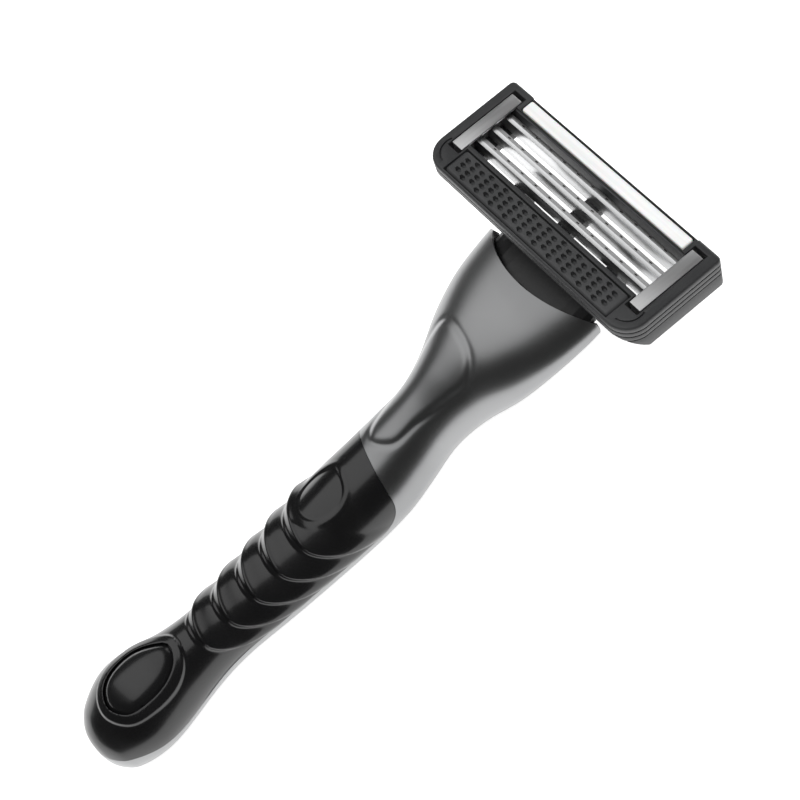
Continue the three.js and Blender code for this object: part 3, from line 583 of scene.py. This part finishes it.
def grip_relief(x, place, height):
    sweep, around = scale_edge(x, height, place)
    crescent = CRESCENT_NARROW + CRESCENT_GROWTH * ease(*CRESCENT_TURN, around)
    rise = np.zeros(x.shape)
    for i in range(SCALE_COUNT):
        behind = place - sweep - (FIRST_SCALE + i * SCALE_PITCH)
        on_scale = (behind >= 0) & (behind < SCALE_PITCH)
        slope = (SCALE_STEP * (1 - ease(crescent, SCALE_PITCH, behind))
                 * ease(-SCALE_LIP_BEHIND, 1, behind / crescent))
        rise += np.where(on_scale, slope, 0)
        rise += (SCALE_LIP * ridge(behind - SCALE_LIP_BEHIND, SCALE_LIP_WIDTH)
                 * ease(*SCALE_LIP_TURN, around))
        rise += (CRESCENT_RIDGE * ridge(behind - crescent, CRESCENT_RIDGE_WIDTH)
                 * ease(*CRESCENT_RIDGE_TURN, around))
    rise *= ease(*SIDE_FADE, np.abs(around))
    front = height > FRONT
    pad = distance_inside(PAD, x, place)
    rise = rise * (1 - np.where(front, ease(*PAD_CLEAR, pad), 0))
    rise -= PAD_SUNK * np.where(front, ease(0, PAD_EDGE, pad), 0)
    rise += np.where(front, PAD_RIM * ridge(pad + PAD_RIM_WIDTH, PAD_RIM_WIDTH), 0)
    ring = distance_inside(INLAY_EDGE, x, place)
    rise += np.where(
        front, RING_PROUD * ease(*RING_OUTSIDE, ring) * ease(*RING_INSIDE, ring), 0)
    return rise


def gloss_black():
    """Polished black moulding: clear gloss, faint flow marks and a trace of handling haze."""
    material, surface, place = start_finish("gloss_black_grip")
    surface.inputs["Coat Weight"].default_value = 0.25
    surface.inputs["Coat Roughness"].default_value = 0.08
    flow = pattern(material, "ShaderNodeTexNoise", place, Scale=90, Detail=5, Distortion=0.8)
    grain = pattern(material, "ShaderNodeTexNoise", place, Scale=3800)
    return grade(material, flow, grain, stops=(0.3, 0.7),
                 tones=((0.003, 0.003, 0.0032), (0.0055, 0.0055, 0.0058)),
                 gloss=(0.2, 0.3), bump=(0.03, 0.00003))


def inlay_outline(curve, grow):
    """The inlay's outline, moved outwards by grow, in the object's own frame."""
    centre = curve.mean(axis=0)
    arms = curve - centre
    reach = np.linalg.norm(arms, axis=1)[:, None]
    moved = centre + arms * (reach + grow) / reach
    return [(x, y + BUTT_TO_ORIGIN) for x, y in moved[::4]]


def inlay_stations(count):
    return spread(*INLAY_SPAN, count) + [INLAY_SPAN[1]]


inlay_room = prism("inlay_room", inlay_outline(INLAY_EDGE, INLAY_GAP), INLAY_CUT, ABOVE)
cut(inlay_room, handle_loft("room_floor", inlay_stations(30),
                            inset=INLAY_DEPTH + INLAY_FLOOR_GAP, sides=96))
grip_stations = (spread(0, BUTT_ROUND, 6) + spread(BUTT_ROUND, SCALES_BAND[0], 20)
                 + spread(*SCALES_BAND, 52) + spread(SCALES_BAND[1], BLANK_END, 5) + [BLANK_END])
gripping = refine(handle_loft("grip_moulding", grip_stations, inset=0, sides=52), levels=2)
emboss(gripping, grip_relief)
cut(gripping, grip_room(0), operation="INTERSECT")
cut(gripping, inlay_room, round_room("weight_channel", "balance_weight", ROOM_GAP),
    screw_room(ROOM_GAP))
black = gloss_black()
finish_piece(smooth(gripping, 40), black, "handle", "grip_black", "grip_cover")

# ------------------------------------------------------------------ butt inlay
# A crowned egg-shaped pad pressed into the ring on the butt. It hides the screw that holds the
# grip, and shares the grip's black gloss.
INLAY_PROUD = 0.1
INLAY_CROWN = 0.22
INLAY_CROWN_REACH = 1.1
INLAY_ROUND = 0.2
INLAY_ROUND_REACH = 0.45
inlay = refine(handle_loft("crowned_inlay", inlay_stations(34), inset=-INLAY_PROUD, sides=48),
               levels=1)


def inlay_relief(x, place, height):
    edge = distance_inside(INLAY_EDGE, x, place)
    return np.where(height > FRONT, INLAY_CROWN * ease(0, INLAY_CROWN_REACH, edge)
                    - INLAY_ROUND * ease(INLAY_ROUND_REACH, 0, edge), 0)


emboss(inlay, inlay_relief)
cut(inlay, prism("inlay_form", inlay_outline(INLAY_EDGE, 0), INLAY_CUT, ABOVE),
    operation="INTERSECT")
cut(inlay, handle_loft("inlay_floor", inlay_stations(30),
                       inset=INLAY_DEPTH - INLAY_FLOOR_GAP, sides=96))
finish_piece(smooth(inlay, 40), black, "handle", "grip_black", "butt_inlay")

# ------------------------------------------------------------------ cartridge frame
# The cartridge is moulded in dark grey plastic. It is drawn flat, with its shaving face at
# height 0, then leant back and set on the pivot. Fine grooves run round its ends.
PIVOT = Vector(next(j["pos_m"] for j in frame["joints"] if j["name"] == "cartridge_pivot"))
FACE_TILT = math.radians(9.5)
PIVOT_Y = -3.5
PIVOT_Z = -8
PIVOT_ON_CARTRIDGE = Vector((0, PIVOT_Y, PIVOT_Z)) * MM
LEAN = Matrix.Rotation(-FACE_TILT, 4, "X")
ON_THE_HEAD = Matrix.Translation(PIVOT) @ LEAN @ Matrix.Translation(-PIVOT_ON_CARTRIDGE)
HALF = 21
DEPTH = 6
SMALL_CORNER = 0.8
LARGE_CORNER = 3.6
UNDER_TAPER = 3.8
WINDOW_X = 17.1
WINDOW_Y = 4.12
POCKET_X = 19
RAIL_STEP_WIDTH = 0.24
RAIL_STEP_DEPTH = 0.5
OUTER_RAIL_WALL = 0.32
OUTER_RAIL_REACH = 0.5
SEAT_GAP = 0.15
SEAT_FLOOR = -1.8
STRIP_LOW = 4.62
STRIP_WIDTH = 1.95
STRIP_X = 16.2
GUARD_HIGH = -4.87
GUARD_WIDTH = 4.1
GUARD_X = 16.6
FRAME_HIGH = STRIP_LOW + STRIP_WIDTH + 0.6
FRAME_LOW = GUARD_HIGH - GUARD_WIDTH - 0.55
BLADE_LEG = 3
POCKET_FLOOR = -BLADE_LEG - 1.6
CLIP_X = 18.175
CLIP_WIDTH = 2.15
CLIP_REACH = 5.47
CLIP_THICKNESS = 0.35
CLIP_SLOT = 0.65
CLIP_SIDE_GAP = 0.12
CLIP_UNDER_GAP = 0.2
CHEEK_OUTER = 2.55
CHEEK_INNER = 2.3
CHEEK_DEPTH = 0.35
CHEEK_TURN = (-82, 20)          # degrees
EAR_INNER = 8.4
EAR_OUTER = 10.6
EAR_RADIUS = 2.2
EAR_BORE = 1.3
RIB_HALF = 1.3                  # the rib, the cam tab and its foot share one width
RIB_LAP = 0.3
TAB_FRONT = -4.7
TAB_BACK = -3.1
TAB_LOW = -10.9
FOOT_LOW = -6.8
JOIN = 1                        # how far an ear or a tab reaches into the shell
OVERRUN = 2                     # how far a cutter passes the skin it cuts
CUT_LOW = -9                    # a cutter between these two heights goes right through
CUT_HIGH = 5


def corner(x, y, radius, start, steps):
    return [(x + radius * math.cos(math.radians(start + 90 * i / steps)),
             y + radius * math.sin(math.radians(start + 90 * i / steps)))
            for i in range(steps + 1)]


def frame_outline(inset):
    small, large = SMALL_CORNER - min(inset, 0.5), LARGE_CORNER - inset
    low, high, half = FRAME_LOW + inset, FRAME_HIGH - inset, HALF - inset
    return (corner(half - large, low + large, large, -90, 14)
            + corner(half - small, high - small, small, 0, 5)
            + corner(-half + small, high - small, small, 90, 5)
            + corner(-half + large, low + large, large, 180, 14))


def end_groove(name, top, bottom, depth):
    """A ring that cuts a groove round the outside between two heights."""
    ring = prism(name, frame_outline(-0.6), bottom, top)
    return cut(ring, prism(name + "_core", frame_outline(depth), bottom - 1, top + 1))


def soften(piece, width, segments=2, degrees=40):
    return apply_modifier(
        piece, "BEVEL", width=width * MM, segments=segments, limit_method="ANGLE",
        angle_limit=math.radians(degrees), harden_normals=False, use_clamp_overlap=True)


def seat_on_head(piece):
    piece.matrix_world = ON_THE_HEAD @ piece.matrix_world
    return settle(piece)


def moulded_plastic(name, dark, light, roughness, pits):
    """Fine-eroded mould texture: small even pits, and a slow drift of tone and gloss."""
    material, _, place = start_finish(name)
    drift = pattern(material, "ShaderNodeTexNoise", place, Scale=120, Detail=4)
    texture = pattern(material, "ShaderNodeTexVoronoi", place, Scale=4200)
    return grade(material, drift, texture, stops=(0.3, 0.7), tones=(dark, light),
                 gloss=(roughness - 0.05, roughness + 0.06), bump=(pits, 0.00004))


def under_taper():
    """What the underside loses to its slope, below the band along the guard side."""
    edge = DEPTH - UNDER_TAPER
    outline = [(FRAME_LOW - OVERRUN, OVERRUN - edge), (FRAME_LOW - OVERRUN, -DEPTH - OVERRUN),
               (FRAME_LOW + UNDER_TAPER + OVERRUN, -DEPTH - OVERRUN)]
    return prism("under_taper", outline, -FAR, FAR, across="x")


def cheek_groove(side):
    """A shallow curved line on the face, around each end of the guard."""
    x, y = side * (HALF - LARGE_CORNER), FRAME_LOW + LARGE_CORNER
    turns = [math.radians(turn) for turn in np.linspace(*CHEEK_TURN, 24)]
    outer, inner = ([(x + side * radius * math.cos(turn), y + radius * math.sin(turn))
                     for turn in turns] for radius in (CHEEK_OUTER, CHEEK_INNER))
    outline = outer + inner[::-1]
    return prism("cheek_groove", outline if side > 0 else outline[::-1], -CHEEK_DEPTH, OVERRUN)


def around_pivot(radius, turns):
    return [(PIVOT_Y + radius * math.cos(turn), PIVOT_Z + radius * math.sin(turn))
            for turn in turns]


def bored_ear(side):
    """A lug under the shell, bored for the yoke's trunnion."""
    low, high = sorted((side * EAR_INNER, side * EAR_OUTER))
    top = -DEPTH + JOIN
    outline = [(PIVOT_Y + EAR_RADIUS, top), (PIVOT_Y - EAR_RADIUS, top)]
    outline += around_pivot(EAR_RADIUS, np.linspace(-math.pi, 0, 19))
    bore = around_pivot(EAR_BORE, np.linspace(0, 2 * math.pi, 32, endpoint=False))
    return cut(prism("ear", outline, low, high, across="x"),
               prism("ear_bore", bore, low - 1, high + 1, across="x"))


def seat(name, half, low, high):
    """Room for an inlaid bar, with a gap all round it."""
    return brick(name, (-half - SEAT_GAP, low - SEAT_GAP, SEAT_FLOOR),
                 (half + SEAT_GAP, high + SEAT_GAP, CUT_HIGH))


shell = prism("cartridge_shell", frame_outline(0), -DEPTH, 0)
soften(shell, width=0.42, segments=4)
clip_cut = CLIP_REACH + CLIP_SLOT
cut(shell,
    end_groove("first_groove", top=-0.95, bottom=-1.2, depth=0.2),
    end_groove("second_groove", top=-1.95, bottom=-2.2, depth=0.16),
    under_taper(),
    end_groove("third_groove", top=-2.95, bottom=-3.15, depth=0.14),
    cheek_groove(-1),
    cheek_groove(1),
    brick("outer_rail",
          (-STRIP_X - OUTER_RAIL_REACH, STRIP_LOW + STRIP_WIDTH + OUTER_RAIL_WALL, CUT_LOW),
          (STRIP_X + OUTER_RAIL_REACH, FRAME_HIGH + 1, CUT_HIGH)),
    brick("rail_step", (-WINDOW_X, 0, -RAIL_STEP_DEPTH),
          (WINDOW_X, WINDOW_Y + RAIL_STEP_WIDTH, CUT_HIGH)),
    brick("window", (-WINDOW_X, -WINDOW_Y, CUT_LOW), (WINDOW_X, WINDOW_Y, CUT_HIGH)),
    brick("blade_pockets", (-POCKET_X, -WINDOW_Y, POCKET_FLOOR), (POCKET_X, WINDOW_Y, CUT_HIGH)),
    seat("strip_seat", STRIP_X, STRIP_LOW, STRIP_LOW + STRIP_WIDTH),
    seat("guard_seat", GUARD_X, GUARD_HIGH - GUARD_WIDTH, GUARD_HIGH))
for side in (-1, 1):
    low_x = side * CLIP_X - CLIP_WIDTH / 2 - CLIP_SIDE_GAP
    high_x = side * CLIP_X + CLIP_WIDTH / 2 + CLIP_SIDE_GAP
    cut(shell, brick("clip_bed", (low_x, -clip_cut, -CLIP_THICKNESS - CLIP_UNDER_GAP),
                     (high_x, clip_cut, CUT_HIGH)))
    for end in (-1, 1):
        y0, y1 = sorted((end * (CLIP_REACH - CLIP_THICKNESS - CLIP_UNDER_GAP), end * clip_cut))
        cut(shell, brick("clip_slot", (low_x, y0, CUT_LOW), (high_x, y1, CUT_HIGH)))
rib = brick("window_rib", (-RIB_HALF, -WINDOW_Y - RIB_LAP, -DEPTH),
            (RIB_HALF, WINDOW_Y + RIB_LAP, POCKET_FLOOR))
tab = brick("cam_tab", (-RIB_HALF, TAB_FRONT, TAB_LOW), (RIB_HALF, TAB_BACK, -DEPTH + JOIN))
foot = brick("tab_foot", (-RIB_HALF, FRAME_LOW + UNDER_TAPER, FOOT_LOW),
             (RIB_HALF, PIVOT_Y, -DEPTH + JOIN))
cut(shell, rib, tab, foot, bored_ear(-1), bored_ear(1), operation="UNION")
soften(shell, width=0.07, segments=2, degrees=50)
grey_plastic = moulded_plastic(
    "dark_grey_moulding", dark=(0.024, 0.0245, 0.0255), light=(0.034, 0.0345, 0.0355),
    roughness=0.46, pits=0.12)
finish_piece(smooth(seat_on_head(shell)), grey_plastic, "cartridge", "grey_plastic",
             "cartridge_frame")

# ------------------------------------------------------------------ guard bar
# A soft rubber bar moulded into the frame ahead of the blades. Columns of small sloping pits,
# three and four by turns, hold the skin taut.
PIT_PITCH = 1.5
PIT_STEP = 0.905
PIT_RADIUS = 0.46
PIT_STRETCH = (1.35, 0.78, 1)
PIT_LEAN = (0.05, -0.2, -0.2)
PIT_LIFT = 0.16
PIT_CUTTER = 1.2
GUARD_BED = -1.5
GUARD_PROUD = 0.1
PIT_COLUMNS = 21


def pit(x, y):
    """A six-sided cutter leant over, so the pit is deep on one side and runs out on the other."""
    start_alone()
    bpy.ops.mesh.primitive_cylinder_add(
        vertices=6, radius=PIT_RADIUS * MM, depth=PIT_CUTTER * MM, rotation=PIT_LEAN)
    cutter = bpy.context.object
    cutter.scale = PIT_STRETCH
    cutter.location = Vector((x, y, PIT_LIFT)) * MM
    return settle(cutter)


def join(pieces):
    pick(*pieces)
    bpy.ops.object.join()
    return bpy.context.object


guard = brick("ribbed_guard", (-GUARD_X, GUARD_HIGH - GUARD_WIDTH, GUARD_BED),
              (GUARD_X, GUARD_HIGH, GUARD_PROUD))
soften(guard, width=0.5, segments=5)
pits = []
for column in range(PIT_COLUMNS):
    rows = 4 if column % 2 else 3
    for row in range(rows):
        y = GUARD_HIGH - GUARD_WIDTH / 2 + (row - (rows - 1) / 2) * PIT_STEP
        pits.append(pit((column - PIT_COLUMNS // 2) * PIT_PITCH, y))
cut(guard, join(pits))
rubber = moulded_plastic(
    "guard_rubber", dark=(0.034, 0.0345, 0.0355), light=(0.046, 0.0465, 0.0475),
    roughness=0.52, pits=0.2)
finish_piece(smooth(seat_on_head(guard)), rubber, "cartridge", "guard_rubber", "guard_bar")

# ------------------------------------------------------------------ lubricating strip
# A pale strip of water-soluble polymer glued in its own seat behind the blades, with softly
# rounded edges and a waxy, slightly uneven surface.
STRIP_BED = -1.5
STRIP_PROUD = 0.12
strip = brick("gel_strip", (-STRIP_X, STRIP_LOW, STRIP_BED),
              (STRIP_X, STRIP_LOW + STRIP_WIDTH, STRIP_PROUD))
soften(strip, width=0.32, segments=5)


def stretch(material, place, scale):
    """The same coordinates, closer together across the piece, so that a pattern runs in lines."""
    mapping = material.node_tree.nodes.new("ShaderNodeMapping")
    mapping.inputs["Scale"].default_value = scale
    material.node_tree.links.new(place, mapping.inputs["Vector"])
    return mapping.outputs["Vector"]


def waxy_gel():
    """Extruded polymer: lines along its length, and a soft glow from inside."""
    material, surface, place = start_finish("waxy_gel")
    surface.inputs["Subsurface Weight"].default_value = 0.15
    surface.inputs["Subsurface Scale"].default_value = 0.0006
    lines = pattern(material, "ShaderNodeTexNoise", stretch(material, place, (60, 1600, 1600)),
                    Scale=1, Detail=4)
    return grade(material, lines, lines, stops=(0.25, 0.7),
                 tones=((0.78, 0.78, 0.775), (0.88, 0.88, 0.875)),
                 gloss=(0.3, 0.46), bump=(0.12, 0.00003))


finish_piece(smooth(seat_on_head(strip)), waxy_gel(), "cartridge", "lubricating_gel",
             "lubricating_strip")

# ------------------------------------------------------------------ clips
# Two soft aluminium straps hold the blades down. Each is folded over the end of the blade pack
# and its legs go down through slots in the frame, with a rounded bend at each corner.
def brushed(name, tint, low, high, scale, relief):
    """Rolled metal: long fine lines in its colour, its gloss and its surface."""
    material, surface, place = start_finish(name)
    surface.inputs["Metallic"].default_value = 1
    lines = pattern(material, "ShaderNodeTexNoise", stretch(material, place, scale),
                    Scale=1, Detail=5)
    return grade(material, lines, lines, stops=(0.3, 0.7),
                 tones=([0.9 * part for part in tint], tint),
                 gloss=(low, high), bump=(relief, 0.00002))


def folded_clip(name, side):
    thick, reach, middle = CLIP_THICKNESS, CLIP_REACH, side * CLIP_X
    outline = [(-reach, -DEPTH), (-reach + thick, -DEPTH), (-reach + thick, -thick),
               (reach - thick, -thick), (reach - thick, -DEPTH), (reach, -DEPTH),
               (reach, 0), (-reach, 0)]
    clip = prism(name, outline, middle - CLIP_WIDTH / 2, middle + CLIP_WIDTH / 2, across="x")
    return seat_on_head(soften(clip, width=0.13, segments=3))


clip_metal = brushed("rolled_aluminium", (0.72, 0.722, 0.725), low=0.34, high=0.46,
                     scale=(2600, 120, 120), relief=0.15)
for side, name in ((-1, "left"), (1, "right")):
    finish_piece(smooth(folded_clip("folded_clip_" + name, side)), clip_metal, "cartridge",
                 "clip_metal", "clip_" + name)

# ------------------------------------------------------------------ blades and carriers
# Each blade is a thin ground steel strip, spot welded along its back to a bent stainless
# carrier whose leg hangs into the frame. The welds show as a row of small dimples.
BLADE_COUNT = 3
BLADE_PITCH = 2.57
BLADE_ANGLE = math.radians(22)
BLADE_WIDTH = 1.25
BLADE_THICKNESS = 0.12
CARRIER_THICKNESS = 0.3
CARRIER_SETBACK = 0.05
CARRIER_GAP = 0.05
CARRIER_BEND = 0.12
FIRST_EDGE = WINDOW_Y - 1.75
EDGE_HEIGHT = -0.45
BLADE_HALF = WINDOW_X + 1.5
WELD_COUNT = 11
WELD_PITCH = 2.87
WELD_PLACE = 0.93               # from the edge, along the blade's slope
WELD_SIZE = (0.3, 0.13, 0.09)
WELD_ROOM = 0.14                # half the band of faces that take the weld's tint
WELD_DEPTHS = (-0.1, -0.002)
GROUND_WIDTH = 0.6
EDGE_DEPTH = 0.1
UNDER_GRIND = 0.3


def along_blade(edge, distance, lift):
    return (edge + distance * math.cos(BLADE_ANGLE) + lift * math.sin(BLADE_ANGLE),
            EDGE_HEIGHT - distance * math.sin(BLADE_ANGLE) + lift * math.cos(BLADE_ANGLE))


def ground_blade(name, edge):
    profile = [along_blade(edge, 0, -EDGE_DEPTH),
               along_blade(edge, UNDER_GRIND, -BLADE_THICKNESS),
               along_blade(edge, BLADE_WIDTH, -BLADE_THICKNESS),
               along_blade(edge, BLADE_WIDTH, 0), along_blade(edge, GROUND_WIDTH, 0)]
    blade = prism(name, profile, -BLADE_HALF, BLADE_HALF, across="x")
    welds = []
    y, z = along_blade(edge, WELD_PLACE, 0)
    for i in range(WELD_COUNT):
        start_alone()
        bpy.ops.mesh.primitive_uv_sphere_add(
            segments=12, ring_count=6, radius=MM, rotation=(-BLADE_ANGLE, 0, 0),
            location=Vector(((i - WELD_COUNT // 2) * WELD_PITCH, y, z)) * MM)
        weld = bpy.context.object
        weld.scale = WELD_SIZE
        welds.append(settle(weld))
    return seat_on_head(cut(blade, join(welds)))


def finish_blade(blade, edge, rolled, tint):
    """Leaves the back rolled grey behind the ground edge, with a dark tint in the welds."""
    blade.data.materials.append(rolled)
    blade.data.materials.append(tint)
    lay_flat = ON_THE_HEAD.inverted()
    for face in blade.data.polygons:
        _, y, z = (lay_flat @ face.center) / MM
        y, z = y - edge, z - EDGE_HEIGHT
        across = y * math.cos(BLADE_ANGLE) - z * math.sin(BLADE_ANGLE)
        lift = y * math.sin(BLADE_ANGLE) + z * math.cos(BLADE_ANGLE)
        if abs(across - WELD_PLACE) < WELD_ROOM and WELD_DEPTHS[0] < lift < WELD_DEPTHS[1]:
            face.material_index = 2
        elif across > GROUND_WIDTH:
            face.material_index = 1


def bent_carrier(name, edge):
    under = -BLADE_THICKNESS - CARRIER_GAP
    bend = along_blade(edge, CARRIER_SETBACK, under)
    low_bend = along_blade(edge, CARRIER_SETBACK, under - CARRIER_THICKNESS)
    foot = bend[1] - BLADE_LEG
    profile = [bend, (bend[0], foot), (bend[0] + CARRIER_THICKNESS, foot),
               (bend[0] + CARRIER_THICKNESS, low_bend[1] - CARRIER_BEND),
               along_blade(edge, BLADE_WIDTH, under - CARRIER_THICKNESS),
               along_blade(edge, BLADE_WIDTH, under)]
    carrier = prism(name, profile, -BLADE_HALF, BLADE_HALF, across="x")
    return seat_on_head(soften(carrier, width=0.05))


blade_steel = brushed("ground_steel", (0.86, 0.865, 0.87), low=0.24, high=0.34,
                      scale=(90, 3000, 3000), relief=0.02)
rolled_steel = brushed("rolled_steel", (0.55, 0.552, 0.555), low=0.42, high=0.55,
                       scale=(90, 1500, 1500), relief=0.03)
weld_tint = brushed("weld_heat_tint", (0.09, 0.085, 0.08), low=0.45, high=0.6,
                    scale=(900, 900, 900), relief=0.2)
carrier_steel = brushed("stainless_carrier", (0.66, 0.665, 0.67), low=0.26, high=0.4,
                        scale=(160, 2200, 2200), relief=0.05)
for i in range(BLADE_COUNT):
    edge = FIRST_EDGE - i * BLADE_PITCH
    number = str(i + 1)
    blade = smooth(ground_blade("ground_blade_" + number, edge), 20)
    finish_piece(blade, blade_steel, "blade_unit_" + number, "blade_steel", "blade_" + number)
    finish_blade(blade, edge, rolled_steel, weld_tint)
    finish_piece(smooth(bent_carrier("bent_carrier_" + number, edge)), carrier_steel,
                 "blade_unit_" + number, "steel", "blade_carrier_" + number)

# ------------------------------------------------------------------ thumb button
# The release button is one black moulding. A ridged pad follows the back of the neck, and a
# post goes up through the slot to a crosspiece whose two fingers push the head out.
PAD_GAP = 0.3
PAD_PROUD = 1.1
PAD_HALF = 3.2
PAD_CORNER = 0.9
PAD_MARGIN = 2                  # the loft runs past the pad by this before it is cut to form
PAD_CUT = 8
RIDGE_SIDE = 2.4                # the ridges fade out from here to the pad's sides
RIDGE_START = (0.5, 1.2)        # and come up between these distances from its back
RIDGE_PITCH = 1.1
RIDGE_DEPTH = 0.14
POST_HALF = 1.5
POST_LENGTH = 2.4
POST_LOW = 3
POST_HIGH = 12.9
CROSSPIECE_HALF = 4.5
CROSSPIECE_LOW = 10.95
CROSSPIECE_HIGH = 12.85
FINGER_INNER = 2.7
FINGER_LOW = 12
FINGER_HIGH = 14
FINGER_LENGTH = 2.7
FINGER_ROOT = 0.5
pad_low, pad_high = button_low.y / MM, button_high.y / MM
button_back = pad_low - BUTT_TO_ORIGIN
button_front = pad_high - BUTT_TO_ORIGIN
post_front = post_back + POST_LENGTH
around_pad = spread(button_back - PAD_MARGIN, button_front + PAD_MARGIN, 24)
around_pad.append(button_front + PAD_MARGIN)
thumb_button = refine(handle_loft("thumb_button", around_pad, inset=-PAD_PROUD - PAD_GAP,
                                  sides=96), levels=1)


def thumb_ridges(x, place, height):
    across = ease(PAD_HALF, RIDGE_SIDE, np.abs(x)) * ease(*RIDGE_START, place - button_back)
    turn = 2 * math.pi * (place - button_back) / RIDGE_PITCH
    return -RIDGE_DEPTH * across * (0.5 + 0.5 * np.cos(turn))


def finger(name, inner, outer):
    return brick(name, (inner, post_front - FINGER_ROOT, FINGER_LOW),
                 (outer, post_front + FINGER_LENGTH, FINGER_HIGH))


emboss(thumb_button, thumb_ridges)
side, back, front = PAD_HALF - PAD_CORNER, pad_low + PAD_CORNER, pad_high - PAD_CORNER
pad_outline = (corner(side, back, PAD_CORNER, -90, 6) + corner(side, front, PAD_CORNER, 0, 6)
               + corner(-side, front, PAD_CORNER, 90, 6)
               + corner(-side, back, PAD_CORNER, 180, 6))
cut(thumb_button, prism("pad_form", pad_outline, 0, PAD_CUT), operation="INTERSECT")
cut(thumb_button, handle_loft("pad_seat", around_pad, inset=-PAD_GAP, sides=96))
cut(thumb_button,
    brick("button_post", (-POST_HALF, post_back, POST_LOW), (POST_HALF, post_front, POST_HIGH)),
    brick("crosspiece", (-CROSSPIECE_HALF, post_back, CROSSPIECE_LOW),
          (CROSSPIECE_HALF, post_front, CROSSPIECE_HIGH)),
    finger("left_finger", -CROSSPIECE_HALF, -FINGER_INNER),
    finger("right_finger", FINGER_INNER, CROSSPIECE_HALF),
    operation="UNION")
soften(thumb_button, width=0.12, segments=2, degrees=50)
black_plastic = moulded_plastic(
    "black_moulding", dark=(0.0035, 0.0035, 0.0037), light=(0.007, 0.007, 0.0073),
    roughness=0.36, pits=0.08)
finish_piece(smooth(thumb_button), black_plastic, "release_button", "black_plastic",
             "release_button")

# ------------------------------------------------------------------ inside the neck
# The head insert, yoke and plunger are black mouldings, and the springs, weight and screw are
# drawn steel. These pieces keep their own solids.
drawn_steel = brushed("drawn_steel", (0.6, 0.605, 0.61), low=0.25, high=0.4,
                      scale=(1500, 1500, 1500), relief=0.1)
for nodes, material in (
        (("head_insert", "pivot_yoke", "plunger"), black_plastic),
        (("plunger_spring", "release_spring", "balance_weight", "grip_screw"), drawn_steel)):
    for node in nodes:
        frame["nodes"][node].data.materials.clear()
        frame["nodes"][node].data.materials.append(material)
